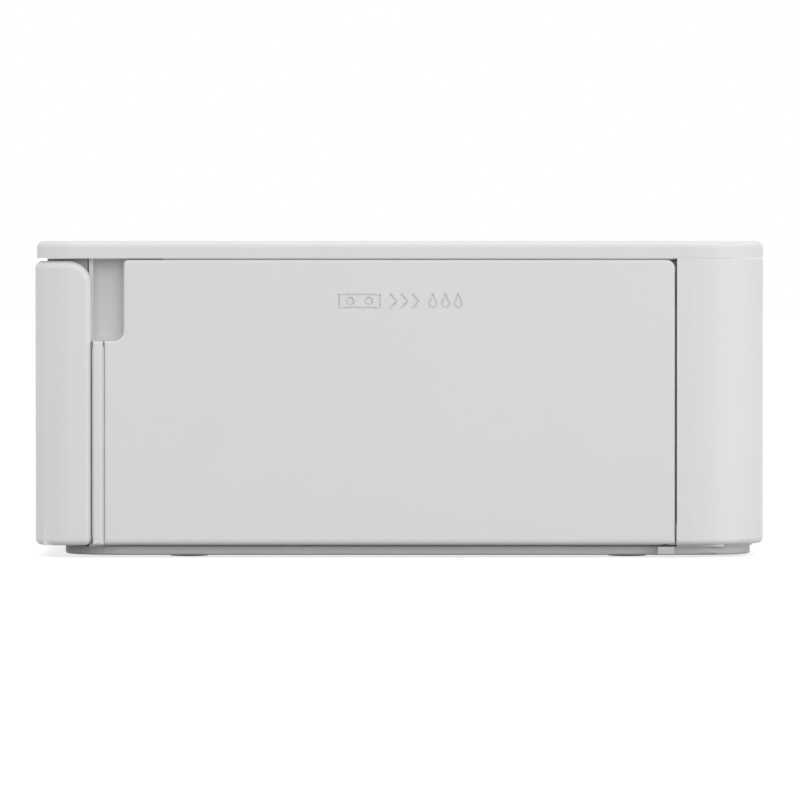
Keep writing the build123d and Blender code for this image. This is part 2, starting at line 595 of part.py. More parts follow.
# --- base plate -------------------------------------------------------------------------
with BuildPart() as base_plate:
    extrude(outline(FOOT_HEIGHT, BASE_HALF_W, (BASE_FRONT_Y, REAR_Y - BASE_INSET),
                    BASE_CORNER_R, BASE_CORNER_R), amount=BASE_THICKNESS)
    fillet(base_plate.edges().group_by(Axis.Z)[0], BASE_EDGE_R)
    ear_y = (DOOR_HINGE_Y - DOOR_BOSS_R, DOOR_HINGE_Y + DOOR_BOSS_R)
    block((BASE_HALF_W - BASE_THICKNESS, DOOR_HINGE_X + DOOR_BOSS_R / 2), ear_y,
          (FOOT_HEIGHT + BASE_EDGE_R / 2, BASE_TOP))
    post((DOOR_HINGE_X, DOOR_HINGE_Y), (DOOR_Z0 - DOOR_PIN_REACH - RUNNING_FIT, BASE_TOP),
         DOOR_PIN_R + RUNNING_FIT, Mode.SUBTRACT)
    for x, y in [(x, y) for x in (-FOOT_X, FOOT_X) for y in (FOOT_FRONT_Y, FOOT_REAR_Y)]:
        post((x, y), (FOOT_HEIGHT, FOOT_HEIGHT + FOOT_SINK), FOOT_RADIUS + RUNNING_FIT, Mode.SUBTRACT)
    for x, y in SHELL_SCREWS:
        post((x, y), (FOOT_HEIGHT, BASE_TOP), SCREW_R + RUNNING_FIT, Mode.SUBTRACT)
        post((x, y), (FOOT_HEIGHT, FOOT_HEIGHT + SCREW_HEAD_HEIGHT), SCREW_HEAD_R + RUNNING_FIT,
             Mode.SUBTRACT)
    for x in (MAIN_BOARD_LEFT_X + BOARD_POST_R, MAIN_BOARD_RIGHT_X - BOARD_POST_R):
        for y in (MAIN_BOARD_FRONT_Y + BOARD_POST_R, MAIN_BOARD_REAR_Y - BOARD_POST_R):
            post((x, y), (BASE_TOP, MAIN_BOARD_Z), BOARD_POST_R)
    block((JACK_X - JACK_SIZE[0] / 2, JACK_X + JACK_SIZE[0] / 2),
          (JACK_FRONT_Y, JACK_FRONT_Y + JACK_SEAT_DEPTH), (BASE_TOP, JACK_Z - JACK_SIZE[2] / 2))
finish(base_plate, "base_plate")

with BuildPart() as rubber_feet:
    for x, y in [(x, y) for x in (-FOOT_X, FOOT_X) for y in (FOOT_FRONT_Y, FOOT_REAR_Y)]:
        post((x, y), (0, FOOT_HEIGHT + FOOT_SINK), FOOT_RADIUS)
    chamfer(rubber_feet.edges().group_by(Axis.Z)[0], FOOT_HEIGHT / 3)
finish(rubber_feet, "rubber_feet")

with BuildPart() as base_screws:
    for x, y in SHELL_SCREWS:
        post((x, y), (FOOT_HEIGHT, FOOT_HEIGHT + SCREW_HEAD_HEIGHT), SCREW_HEAD_R)
        post((x, y), (FOOT_HEIGHT, FOOT_HEIGHT + SCREW_LENGTH), SCREW_R)
finish(base_screws, "base_screws")

# --- outer shell ------------------------------------------------------------------------
with BuildPart() as body_casing:
    casing_y = (CASING_FRONT_Y, REAR_Y)
    extrude(outline(CASING_Z0, HALF_W, casing_y, 0, REAR_CORNER_R), amount=CASING_Z1 - CASING_Z0)
    fillet(body_casing.edges().group_by(Axis.Z)[0].sort_by(Axis.Y)[1:], CASING_EDGE_R)
    inner_y = (CASING_FRONT_Y - PAST, REAR_Y - SHELL_WALL)
    extrude(outline(CASING_Z0, INNER_X, inner_y, 0, REAR_CORNER_R - SHELL_WALL),
            amount=CASING_Z1 - CASING_Z0, mode=Mode.SUBTRACT)
    flange_y = (CASING_FRONT_Y, REAR_Y - SHELL_WALL)
    extrude(outline(BASE_TOP, INNER_X, flange_y, 0, REAR_CORNER_R - SHELL_WALL), amount=FLANGE_HEIGHT)
    within_y = (CASING_FRONT_Y - PAST, REAR_Y - SHELL_WALL - FLANGE_WIDTH)
    extrude(outline(BASE_TOP, INNER_X - FLANGE_WIDTH, within_y, 0,
                    REAR_CORNER_R - SHELL_WALL - FLANGE_WIDTH),
            amount=FLANGE_HEIGHT, mode=Mode.SUBTRACT)
    block((INNER_X - FLANGE_WIDTH - PAST, HALF_W + PAST), (CASING_FRONT_Y - PAST, CASING_RIGHT_Y),
          (0, BODY_HEIGHT), Mode.SUBTRACT)
    block((INNER_X, HALF_W - SHELL_WALL / 2), (DOOR_REAR_Y + DOOR_RIB_GAP, CASING_RIGHT_Y),
          (CASING_Z0, CASING_Z0 + DOOR_RIB_HEIGHT))
    for x, y in SHELL_SCREWS:
        if x < 0 or y > CASING_RIGHT_Y:
            edge_x = (-INNER_X - SHELL_WALL / 2, x) if x < 0 else (x, INNER_X)
            block(edge_x, (y - SCREW_BOSS_R, y + SCREW_BOSS_R), (BASE_TOP, BASE_TOP + BOSS_HEIGHT))
            post((x, y), (BASE_TOP, BASE_TOP + BOSS_HEIGHT), SCREW_BOSS_R)
            post((x, y), (BASE_TOP, FOOT_HEIGHT + SCREW_LENGTH + PLAY), SCREW_R + RUNNING_FIT, Mode.SUBTRACT)
    slot_z = (PAPER_Z - REAR_SLOT_HEIGHT / 2 + PLAY, PAPER_Z + REAR_SLOT_HEIGHT / 2 + PLAY)
    slot_x = (MECHANISM_X - REAR_SLOT_WIDTH / 2, MECHANISM_X + REAR_SLOT_WIDTH / 2)
    block(slot_x, (REAR_Y - 2 * SHELL_WALL, REAR_Y + PAST), slot_z, Mode.SUBTRACT)
    wall_x = (-HALF_W - PAST, -INNER_X + PAST)
    vent_z = (FAN_Z - VENT_SLOT[1] / 2, FAN_Z + VENT_SLOT[1] / 2)
    for number in range(VENT_COUNT):
        y = FAN_Y + (number - (VENT_COUNT - 1) / 2) * VENT_PITCH
        block(wall_x, (y - VENT_SLOT[0] / 2, y + VENT_SLOT[0] / 2), vent_z, Mode.SUBTRACT)
    card_z = MAIN_TOP + CARD_SLOT[2] / 2
    mouth = CARD_SLOT[1] / 2 - SHEET + CARD_MOUTH_GAP
    block(wall_x, (CARD_SLOT_Y - mouth, CARD_SLOT_Y + mouth),
          (card_z - CARD_MOUTH_HEIGHT / 2, card_z + CARD_MOUTH_HEIGHT / 2), Mode.SUBTRACT)
    usb_z = MAIN_TOP + USB_PORT[2] / 2
    block(wall_x,
          (USB_PORT_Y - USB_PORT[1] / 2 - PLAY, USB_PORT_Y + USB_PORT[1] / 2 + PLAY),
          (usb_z - USB_PORT[2] / 2 - PLAY, usb_z + USB_PORT[2] / 2 + PLAY), Mode.SUBTRACT)
    with Locations(Location((JACK_X, REAR_Y - SHELL_WALL / 2, JACK_Z), (90, 0, 0))):
        Cylinder(JACK_MOUTH_R, 2 * SHELL_WALL, mode=Mode.SUBTRACT)
finish(body_casing, "body_casing")

with BuildPart() as top_cover:
    top_y = (FRONT_Y + TOP_FRONT_INSET, REAR_Y)
    extrude(outline(TOP_Z0, HALF_W, top_y, FRONT_CORNER_R, REAR_CORNER_R), amount=TOP_HEIGHT)
    fillet(top_cover.edges().group_by(Axis.Z)[-1], TOP_EDGE_R)
    under_y = (top_y[0] + TOP_RIM, top_y[1] - TOP_RIM)
    extrude(outline(TOP_Z0, HALF_W - TOP_RIM, under_y, FRONT_CORNER_R - TOP_RIM, REAR_CORNER_R - TOP_RIM),
            amount=TOP_HEIGHT - TOP_PLATE, mode=Mode.SUBTRACT)
    block((DOOR_HINGE_X - 2 * DOOR_BOSS_R, HALF_W - TOP_RIM / 2), ear_y, (TOP_Z0, TOP_UNDER))
    post((DOOR_HINGE_X, DOOR_HINGE_Y), (TOP_Z0, DOOR_Z1 + DOOR_PIN_REACH + RUNNING_FIT),
         DOOR_PIN_R + RUNNING_FIT, Mode.SUBTRACT)
    with BuildSketch(Plane.XY.offset(WINDOW_RECESS_Z)):
        with Locations((WINDOW_X, WINDOW_Y)):
            RectangleRounded(WINDOW_WIDTH + 2 * WINDOW_GAP, WINDOW_DEPTH + 2 * WINDOW_GAP,
                             WINDOW_CORNER_R + WINDOW_GAP)
    extrude(amount=TOP_HEIGHT, mode=Mode.SUBTRACT)
    with BuildSketch(Plane.XY.offset(TOP_Z0)):
        with Locations((WINDOW_X, WINDOW_Y)):
            RectangleRounded(WINDOW_WIDTH - 2 * WINDOW_LEDGE, WINDOW_DEPTH - 2 * WINDOW_LEDGE,
                             WINDOW_CORNER_R)
    extrude(amount=TOP_HEIGHT, mode=Mode.SUBTRACT)


def key_sketch(shape, grow, z):
    """The outline of one key, grown by a gap or a flange."""
    kind, place, size = shape
    with BuildSketch(Plane.XY.offset(z)) as key:
        with Locations(place):
            if kind == "round":
                Circle(size + grow)
            elif kind == "bar":
                RectangleRounded(size[0] + 2 * grow, size[1] + 2 * grow, KEY_CORNER_R + grow)
            else:
                with BuildLine(mode=Mode.PRIVATE) as arc_lines:
                    half = RING_GAP / 2 - grow
                    inner = RING_INNER_R - grow
                    outer = RING_OUTER_R + grow
                    ends = [sector_point(radius, half, side)
                            for radius, side in ((inner, -1), (outer, -1), (outer, 1), (inner, 1))]
                    Line(ends[0], ends[1])
                    ThreePointArc(ends[1], (outer, 0), ends[2])
                    Line(ends[2], ends[3])
                    ThreePointArc(ends[3], (inner, 0), ends[0])
                with Locations(Location((0, 0), size)):
                    add(make_face(arc_lines.edges(), mode=Mode.PRIVATE))
    return key.sketch


def sector_point(radius, half, side):
    """Where a sector's straight side, parallel to the diagonal, meets a circle."""
    along = (radius**2 - half**2) ** 0.5
    return ((along + half) / 2**0.5, side * (along - half) / 2**0.5)


KEYS = {
    "power_button": ("round", (PANEL_X + KEY_COLUMN_DX, PANEL_Y + KEY_ROW_DY), POWER_R),
    "menu_button": ("bar", (PANEL_X - KEY_COLUMN_DX, PANEL_Y + KEY_ROW_DY), SMALL_KEY),
    "back_button": ("bar", (PANEL_X - KEY_COLUMN_DX, PANEL_Y - KEY_ROW_DY), SMALL_KEY),
    "print_button": ("bar", (PANEL_X + KEY_COLUMN_DX - PRINT_KEY_INSET, PANEL_Y - KEY_ROW_DY), PRINT_KEY),
    "ok_button": ("round", (PANEL_X, PANEL_Y), OK_R),
    "right_button": ("sector", (PANEL_X, PANEL_Y), 0),
    "up_button": ("sector", (PANEL_X, PANEL_Y), 90),
    "left_button": ("sector", (PANEL_X, PANEL_Y), 180),
    "down_button": ("sector", (PANEL_X, PANEL_Y), 270),
}


def key_centre(shape):
    """The middle of a key, where its switch sits."""
    kind, place, size = shape
    if kind != "sector":
        return place
    reach = (RING_INNER_R + RING_OUTER_R) / 2
    return (place[0] + reach * cos(radians(size)), place[1] + reach * sin(radians(size)))


with top_cover:
    for key in KEYS.values():
        extrude(key_sketch(key, KEY_GAP, TOP_Z0), amount=TOP_HEIGHT, mode=Mode.SUBTRACT)
    for x in (BOARD_X[0] + BOARD_POST_R, BOARD_X[1] - BOARD_POST_R):
        for y in (BOARD_Y[0] + BOARD_POST_R, BOARD_Y[1] - BOARD_POST_R):
            post((x, y), (BOARD_TOP, TOP_UNDER), BOARD_POST_R)
finish(top_cover, "top_cover")

for name, key in KEYS.items():
    with BuildPart() as button:
        extrude(key_sketch(key, 0, KEY_FLANGE_BOTTOM), amount=BODY_HEIGHT - KEY_SINK - KEY_FLANGE_BOTTOM)
        fillet(button.edges().group_by(Axis.Z)[-1], KEY_EDGE_R)
        extrude(key_sketch(key, KEY_FLANGE, KEY_FLANGE_BOTTOM), amount=KEY_FLANGE_HEIGHT)
    finish(button, name)

with BuildPart() as display_window:
    with BuildSketch(Plane.XY.offset(WINDOW_RECESS_Z)):
        with Locations((WINDOW_X, WINDOW_Y)):
            RectangleRounded(WINDOW_WIDTH, WINDOW_DEPTH, WINDOW_CORNER_R)
    extrude(amount=WINDOW_THICKNESS)
finish(display_window, "display_window")

with BuildPart() as display_module:
    block((WINDOW_X - DISPLAY_WIDTH / 2, WINDOW_X + DISPLAY_WIDTH / 2),
          (WINDOW_Y - DISPLAY_DEPTH / 2, WINDOW_Y + DISPLAY_DEPTH / 2), (DISPLAY_BOTTOM, TOP_UNDER))
finish(display_module, "display_module")

# --- ink door ---------------------------------------------------------------------------
with BuildPart() as ink_door:
    with BuildSketch(plate_plane(DOOR_INNER_X)) as door_face:
        with BuildLine():
            Polyline((DOOR_FRONT_Y, DOOR_Z0), (DOOR_REAR_Y, DOOR_Z0), (DOOR_REAR_Y, DOOR_Z1),
                     (NOTCH_REAR_Y, DOOR_Z1), (NOTCH_REAR_Y, NOTCH_BOTTOM_Z),
                     (DOOR_FRONT_Y, NOTCH_BOTTOM_Z), close=True)
        make_face()
        for y, z, radius in ((DOOR_REAR_Y, DOOR_Z1, DOOR_TOP_REAR_R), (NOTCH_REAR_Y, DOOR_Z1, NOTCH_LIP_R),
                             (NOTCH_REAR_Y, NOTCH_BOTTOM_Z, NOTCH_CORNER_R),
                             (DOOR_FRONT_Y, DOOR_Z0, DOOR_BOTTOM_FRONT_R)):
            fillet(door_face.vertices().sort_by_distance((y, z, 0))[0], radius)
    extrude(amount=DOOR_WALL)
    fillet(ink_door.faces().sort_by(Axis.X)[-1].edges(), DOOR_EDGE_R)
    for z_span in ((DOOR_Z0, DOOR_Z0 + DOOR_PIN_DEPTH), (DOOR_Z1 - DOOR_PIN_DEPTH, DOOR_Z1)):
        post((DOOR_HINGE_X, DOOR_HINGE_Y), z_span, DOOR_PIN_R, Mode.SUBTRACT)
finish(ink_door, "ink_door")

with BuildPart() as ink_door_pins:
    for z_span in ((DOOR_Z0 - DOOR_PIN_REACH, DOOR_Z0 + DOOR_PIN_DEPTH),
                   (DOOR_Z1 - DOOR_PIN_DEPTH, DOOR_Z1 + DOOR_PIN_REACH)):
        post((DOOR_HINGE_X, DOOR_HINGE_Y), z_span, DOOR_PIN_R)
finish(ink_door_pins, "ink_door_pins")

# --- side frame with the finger notch ---------------------------------------------------
with BuildPart() as side_frame:
    panel_y = (CASING_FRONT_Y - COVER_WALL / 2, SIDE_FRAME_REAR_Y)
    block((SIDE_X0, SIDE_X1), panel_y, (BASE_TOP, CASING_Z1))
    block((SIDE_X0 - PAST, HALF_W), (DOOR_REAR_Y, REAR_Y), (0, BASE_TOP + FLANGE_HEIGHT + PLAY),
          Mode.SUBTRACT)
    with BuildSketch(plate_plane(SIDE_X0 - PAST)):
        with Locations(((INK_BAY_FRONT_Y + INK_BAY_REAR_Y) / 2, (INK_BAY_BOTTOM_Z + INK_BAY_TOP_Z) / 2)):
            RectangleRounded(INK_BAY_REAR_Y - INK_BAY_FRONT_Y, INK_BAY_TOP_Z - INK_BAY_BOTTOM_Z,
                             INK_BAY_CORNER_R)
    extrude(amount=SIDE_FRAME_WALL + 2 * PAST, mode=Mode.SUBTRACT)
    block((NOTCH_FLOOR_X - NOTCH_WALL, DOOR_INNER_X - PLAY),
          (panel_y[0], NOTCH_REAR_Y + NOTCH_WALL), (NOTCH_BOTTOM_Z - NOTCH_WALL, CASING_Z1))
    block((SIDE_X0, HALF_W), (CASING_FRONT_Y, STRIP_REAR_Y), (BASE_TOP + CASING_BOTTOM_GAP, NOTCH_BOTTOM_Z))
    fillet(side_frame.faces().sort_by(Axis.X)[-1].edges(), DOOR_EDGE_R)
    with BuildSketch(plate_plane(NOTCH_FLOOR_X)) as notch_cut:
        with BuildLine():
            Polyline((CASING_FRONT_Y, NOTCH_BOTTOM_Z), (NOTCH_REAR_Y, NOTCH_BOTTOM_Z),
                     (NOTCH_REAR_Y, BODY_HEIGHT), (CASING_FRONT_Y, BODY_HEIGHT), close=True)
        make_face()
        fillet(notch_cut.vertices().sort_by_distance((NOTCH_REAR_Y, NOTCH_BOTTOM_Z, 0))[0], NOTCH_CORNER_R)
    extrude(amount=NOTCH_DEPTH, mode=Mode.SUBTRACT)
    floor = side_frame.faces().filter_by(Axis.X).filter_by(
        lambda face: abs(face.center().X - NOTCH_FLOOR_X) < RUNNING_FIT)
    fillet(floor.edges().group_by(Axis.Z)[0] + floor.edges().filter_by(Axis.Z), NOTCH_FLOOR_R)
    boss_x, boss_y = SHELL_SCREWS[2]
    block((boss_x, SIDE_X0), (boss_y - SCREW_BOSS_R, boss_y + SCREW_BOSS_R),
          (BASE_TOP, BASE_TOP + BOSS_HEIGHT))
    post((boss_x, boss_y), (BASE_TOP, BASE_TOP + BOSS_HEIGHT), SCREW_BOSS_R)
    post((boss_x, boss_y), (BASE_TOP, FOOT_HEIGHT + SCREW_LENGTH + PLAY), SCREW_R + RUNNING_FIT,
         Mode.SUBTRACT)
finish(side_frame, "side_frame")

# --- front cover and front frame --------------------------------------------------------
COVER_HINGE = (COVER_HINGE_Y, COVER_HINGE_Z)
LUG_END_X = COVER_LUG_X + COVER_LUG_WIDTH
PIN_END_X = COVER_LUG_X + COVER_PIN_LENGTH


def both_sides(x_span):
    """The same span on the left and on the right of the printer."""
    return ((-x_span[1], -x_span[0]), x_span)


with BuildPart() as front_cover:
    extrude(outline(COVER_BOTTOM_Z, HALF_W, (FRONT_Y, 0), FRONT_CORNER_R, 0),
            amount=COVER_TOP_Z - COVER_BOTTOM_Z)
    fillet(front_cover.edges().group_by(Axis.Z)[0].sort_by(Axis.Y)[:-1], COVER_EDGE_R)
    extrude(outline(COVER_BOTTOM_Z, HALF_W - COVER_WALL, (FRONT_Y + COVER_WALL, PAST),
                    FRONT_CORNER_R - COVER_WALL, 0), amount=COVER_TOP_Z, mode=Mode.SUBTRACT)
    block((-HALF_W, HALF_W), (COVER_REAR_Y, PAST), (0, BODY_HEIGHT), Mode.SUBTRACT)
    wing_corners = front_cover.edges().filter_by(Axis.X).group_by(Axis.Y)[-1]
    fillet(wing_corners.group_by(Axis.Z)[-1], COVER_TOP_CORNER_R)
    fillet(wing_corners.group_by(Axis.Z)[0], COVER_FOOT_CORNER_R)
    for boss_x in both_sides((LUG_END_X + COVER_BOSS_GAP, HALF_W - COVER_WALL)):
        rod(boss_x, COVER_HINGE, COVER_BOSS_R)
        block(boss_x, (COVER_HINGE_Y - COVER_BOSS_R - PLAY, COVER_HINGE_Y),
              (COVER_HINGE_Z - COVER_BOSS_R, COVER_HINGE_Z + COVER_BOSS_R))
    for pin_x in both_sides((LUG_END_X, PIN_END_X + RUNNING_FIT)):
        rod(pin_x, COVER_HINGE, COVER_PIN_R + RUNNING_FIT, Mode.SUBTRACT)
finish(front_cover, "front_cover")

with BuildPart() as front_cover_pins:
    for pin_x in both_sides((COVER_LUG_X, PIN_END_X)):
        rod(pin_x, COVER_HINGE, COVER_PIN_R)
finish(front_cover_pins, "front_cover_pins")

with BuildPart() as front_frame:
    frame_z0 = COVER_HINGE_Z - FRAME_HINGE_DROP
    frame_y = (FRAME_FRONT_Y, FRAME_REAR_Y)
    extrude(outline(frame_z0, FRAME_HALF_W, frame_y, FRAME_CORNER_R, 0), amount=CASING_Z1 - frame_z0)
    extrude(outline(frame_z0, FRAME_HALF_W - FRAME_WALL, (frame_y[0] + FRAME_WALL, frame_y[1] + PAST),
                    FRAME_CORNER_R - FRAME_WALL, 0), amount=CASING_Z1, mode=Mode.SUBTRACT)
    for sweep_x in both_sides((LUG_END_X, HALF_W)):
        rod(sweep_x, COVER_HINGE, COVER_SWEEP_R, Mode.SUBTRACT)
    for lug_x in both_sides((COVER_LUG_X, LUG_END_X)):
        rod(lug_x, COVER_HINGE, COVER_LUG_R)
        rod(lug_x, COVER_HINGE, COVER_PIN_R, Mode.SUBTRACT)
    tunnel_x = (BAY_X[0] - TUNNEL_WALL, BAY_X[1] + TUNNEL_WALL)
    tunnel_z = (BAY_Z[0] - TUNNEL_WALL, BAY_Z[1] + TUNNEL_WALL)
    block(tunnel_x, (frame_y[0] + FRAME_WALL / 2, PAPER_BAY_REAR_Y), tunnel_z)
    for rib_x in (BAY_X[0], MECHANISM_X, BAY_X[1] - FRAME_WALL):
        block((rib_x, rib_x + FRAME_WALL), (BASE_FRONT_Y + PAST, CHASSIS_FRONT_Y - PLAY),
              (BASE_TOP, tunnel_z[0]))
    block(BAY_X, (frame_y[0] - PAST, PAPER_BAY_REAR_Y + PAST), BAY_Z, Mode.SUBTRACT)
    block((MECHANISM_X - PICKUP_WINDOW_WIDTH / 2, MECHANISM_X + PICKUP_WINDOW_WIDTH / 2),
          (PICKUP_WINDOW_FRONT_Y, PAPER_BAY_REAR_Y + PAST), (BAY_Z[1] - PAST, tunnel_z[1] + PAST),
          Mode.SUBTRACT)
finish(front_frame, "front_frame")

# --- chassis ----------------------------------------------------------------------------
CHASSIS_Y = (CHASSIS_FRONT_Y, CHASSIS_REAR_Y)
PICKUP_PIVOT = (PICKUP_PIVOT_Y, PICKUP_Z)
PINCH = (CAPSTAN_Y, PINCH_Z)
PLATE_BORES = [(CAPSTAN, CAPSTAN_SHAFT_R), (PLATEN, PLATEN_SHAFT_R), (PINCH, PINCH_SHAFT_R),
               (HEAD_PIVOT, HEAD_PIVOT_R), (PICKUP_PIVOT, PICKUP_SHAFT_R)]
with BuildPart() as chassis_pan:
    block((LEFT_PLATE_X, RIGHT_PLATE_X), CHASSIS_Y, (BASE_TOP, PAN_TOP))
    block((GEAR_PLATE_X, LEFT_PLATE_X), (GEAR_PLATE_FRONT_Y, CHASSIS_REAR_Y), (BASE_TOP, PAN_TOP))
finish(chassis_pan, "chassis_pan")

with BuildPart() as left_side_plate:
    left_x = (LEFT_PLATE_X, PLATE_IN[0])
    block(left_x, CHASSIS_Y, (PAN_TOP, CHASSIS_TOP_Z))
    for centre, radius in PLATE_BORES + [(CAM, CAM_SHAFT_R), (HUB, HUB_SHAFT_R)]:
        rod(left_x, centre, radius + RUNNING_FIT, Mode.SUBTRACT)
    drop = radians(HEAD_LIFT_ANGLE) * (CAM_Y - HEAD_PIVOT_Y)
    with BuildSketch(plate_plane(LEFT_PLATE_X)):
        with Locations((CAM_Y, CAM_FOLLOWER_Z - drop / 2)):
            SlotCenterToCenter(drop, 2 * (CAM_FOLLOWER_R + 2 * PLAY), rotation=90)
    extrude(amount=SHEET, mode=Mode.SUBTRACT)
finish(left_side_plate, "left_side_plate")

with BuildPart() as right_side_plate:
    right_x = (PLATE_IN[1], RIGHT_PLATE_X)
    block(right_x, CHASSIS_Y, (PAN_TOP, CHASSIS_TOP_Z))
    for centre, radius in PLATE_BORES:
        rod(right_x, centre, radius + RUNNING_FIT, Mode.SUBTRACT)
    block(right_x, (SUPPLY_Y - SPOOL_HOUSING_R - 2 * PLAY, TAKEUP_Y + SPOOL_HOUSING_R + 2 * PLAY),
          (CASSETTE_BEAM_Z - 2 * PLAY, SPOOL_Z + SPOOL_HOUSING_R + 2 * PLAY), Mode.SUBTRACT)
finish(right_side_plate, "right_side_plate")

with BuildPart() as gear_plate:
    plate_x = (GEAR_PLATE_X, GEAR_PLATE_X + SHEET)
    block(plate_x, (GEAR_PLATE_FRONT_Y, CHASSIS_REAR_Y), (PAN_TOP, CHASSIS_TOP_Z))
    for centre, radius in ((CAPSTAN, CAPSTAN_SHAFT_R), (CAM, CAM_SHAFT_R)):
        rod(plate_x, centre, radius + RUNNING_FIT, Mode.SUBTRACT)
    for centre in (FEED_PINION, CAM_PINION):
        rod(plate_x, centre, MOTOR_SHAFT_R + PLAY, Mode.SUBTRACT)
    rod((plate_x[1], FEED_LAYER_X + GEAR_WIDTH + PLAY), IDLER, CAM_SHAFT_R)
finish(gear_plate, "gear_plate")

guide_z = (PAPER_Z - GUIDE_GAP - GUIDE_THICKNESS, PAPER_Z - GUIDE_GAP)
with BuildPart() as paper_guides:
    for y_span in ((PAPER_BAY_REAR_Y + TUNNEL_GAP, PLATEN_Y - PLATEN_R - ROLLER_END_GAP),
                   (PLATEN_Y + PLATEN_R + ROLLER_END_GAP, CAPSTAN_Y - CAPSTAN_R - ROLLER_END_GAP),
                   (CAPSTAN_Y + CAPSTAN_R + PLAY, REAR_Y - SHELL_WALL - ROLLER_END_GAP)):
        block(PLATE_IN, y_span, guide_z)
    pads_x = ((PLATE_IN[0], PAPER_X[0] - 2 * ROLLER_END_GAP), (PAPER_X[1] + 2 * ROLLER_END_GAP, PLATE_IN[1]))
    for pad_x in pads_x:
        for pad_y in (SUPPLY_Y, TAKEUP_Y):
            block(pad_x, (pad_y - GUIDE_PAD / 2, pad_y + GUIDE_PAD / 2),
                  (guide_z[1], CASSETTE_BEAM_Z - GUIDE_GAP))
finish(paper_guides, "paper_guides")

# --- paper drive ------------------------------------------------------------------------
idler_phase = 0.0
capstan_phase = mesh_phase(idler_phase, IDLER_TEETH, CAPSTAN_TEETH, bearing(IDLER, CAPSTAN))
platen_phase = mesh_phase(idler_phase, IDLER_TEETH, PLATEN_TEETH, bearing(IDLER, PLATEN))
feed_phase = mesh_phase(idler_phase, IDLER_TEETH, FEED_PINION_TEETH, bearing(IDLER, FEED_PINION))
OUTER_END = RIGHT_PLATE_X + SHEET            # right-hand ends of the shafts

with BuildPart() as capstan_shaft:
    rod((GEAR_PLATE_X, OUTER_END), CAPSTAN, CAPSTAN_SHAFT_R)
    rod((PLATE_IN[0] + PLAY, PLATE_IN[1] - PLAY), CAPSTAN, CAPSTAN_R)
finish(capstan_shaft, "capstan_shaft")

with BuildPart() as capstan_gear:
    extrude(gear_face(CAPSTAN, CAPSTAN_TEETH, capstan_phase, FEED_LAYER_X, CAPSTAN_SHAFT_R),
            amount=GEAR_WIDTH)
finish(capstan_gear, "capstan_gear")

with BuildPart() as platen_shaft:
    rod((FEED_LAYER_X - SHEET, OUTER_END), PLATEN, PLATEN_SHAFT_R)
finish(platen_shaft, "platen_shaft")

with BuildPart() as platen_rubber:
    rod((PAPER_X[0] - ROLLER_END_GAP, PAPER_X[1] + ROLLER_END_GAP), PLATEN, PLATEN_R)
    rod((PAPER_X[0] - ROLLER_END_GAP, PAPER_X[1] + ROLLER_END_GAP), PLATEN, PLATEN_SHAFT_R, Mode.SUBTRACT)
finish(platen_rubber, "platen_rubber")

with BuildPart() as platen_gear:
    extrude(gear_face(PLATEN, PLATEN_TEETH, platen_phase, FEED_LAYER_X, PLATEN_SHAFT_R), amount=GEAR_WIDTH)
finish(platen_gear, "platen_gear")

with BuildPart() as idler_gear:
    extrude(gear_face(IDLER, IDLER_TEETH, idler_phase, FEED_LAYER_X, CAM_SHAFT_R + RUNNING_FIT),
            amount=GEAR_WIDTH)
finish(idler_gear, "idler_gear")

with BuildPart() as pinch_roller:
    rod((LEFT_PLATE_X - SHEET, OUTER_END), PINCH, PINCH_SHAFT_R)
    rod(PAPER_X, PINCH, PINCH_R)
finish(pinch_roller, "pinch_roller")


def motor(centre, x_span, radius, shaft_x, ear_x, level=False):
    """A round motor with two mounting ears against the gear plate and a bearing hole."""
    rod(x_span, centre, radius)
    reach = radius + MOTOR_EAR_REACH
    half_y, half_z = (reach, MOTOR_EAR_REACH) if level else (MOTOR_EAR_REACH, reach)
    block(ear_x, (centre[0] - half_y, centre[0] + half_y), (centre[1] - half_z, centre[1] + half_z))
    rod(shaft_x, centre, MOTOR_SHAFT_R + RUNNING_FIT, Mode.SUBTRACT)


BEARING_X = (GEAR_PLATE_X - MOTOR_BEARING, GEAR_PLATE_X)
EAR_X = (GEAR_PLATE_X - MOTOR_FLANGE, GEAR_PLATE_X)
with BuildPart() as feed_motor:
    motor(FEED_PINION, (GEAR_PLATE_X - FEED_MOTOR_LENGTH, GEAR_PLATE_X), FEED_MOTOR_R, BEARING_X, EAR_X)
finish(feed_motor, "feed_motor")

with BuildPart() as feed_pinion:
    extrude(gear_face(FEED_PINION, FEED_PINION_TEETH, feed_phase, FEED_LAYER_X), amount=GEAR_WIDTH)
    rod((BEARING_X[0] + PLAY, FEED_LAYER_X), FEED_PINION, MOTOR_SHAFT_R)
finish(feed_pinion, "feed_pinion")

# --- pickup rollers on their swinging arm -----------------------------------------------
PICKUP = (PICKUP_Y, PICKUP_Z)
roller_x = [MECHANISM_X + side * PICKUP_ROLLER_SPACING / 2 for side in (-1, 1)]
with BuildPart() as pickup_arm:
    rod((PLATE_IN[0] + PLAY, PLATE_IN[1] - PLAY), PICKUP_PIVOT, PICKUP_TUBE_R)
    rod((LEFT_PLATE_X - SHEET, OUTER_END), PICKUP_PIVOT, PICKUP_SHAFT_R)
    for side in (-1, 1):
        arm_x = MECHANISM_X + side * PICKUP_ARM_SPACING / 2
        arm_span = (arm_x - PICKUP_ARM_THICKNESS / 2, arm_x + PICKUP_ARM_THICKNESS / 2)
        block(arm_span, (PICKUP_Y, PICKUP_PIVOT_Y), (PICKUP_Z - PICKUP_TUBE_R, PICKUP_Z + PICKUP_TUBE_R))
        rod(arm_span, PICKUP, PICKUP_TUBE_R)
        rod(arm_span, PICKUP, PICKUP_SHAFT_R + RUNNING_FIT, Mode.SUBTRACT)
finish(pickup_arm, "pickup_arm")

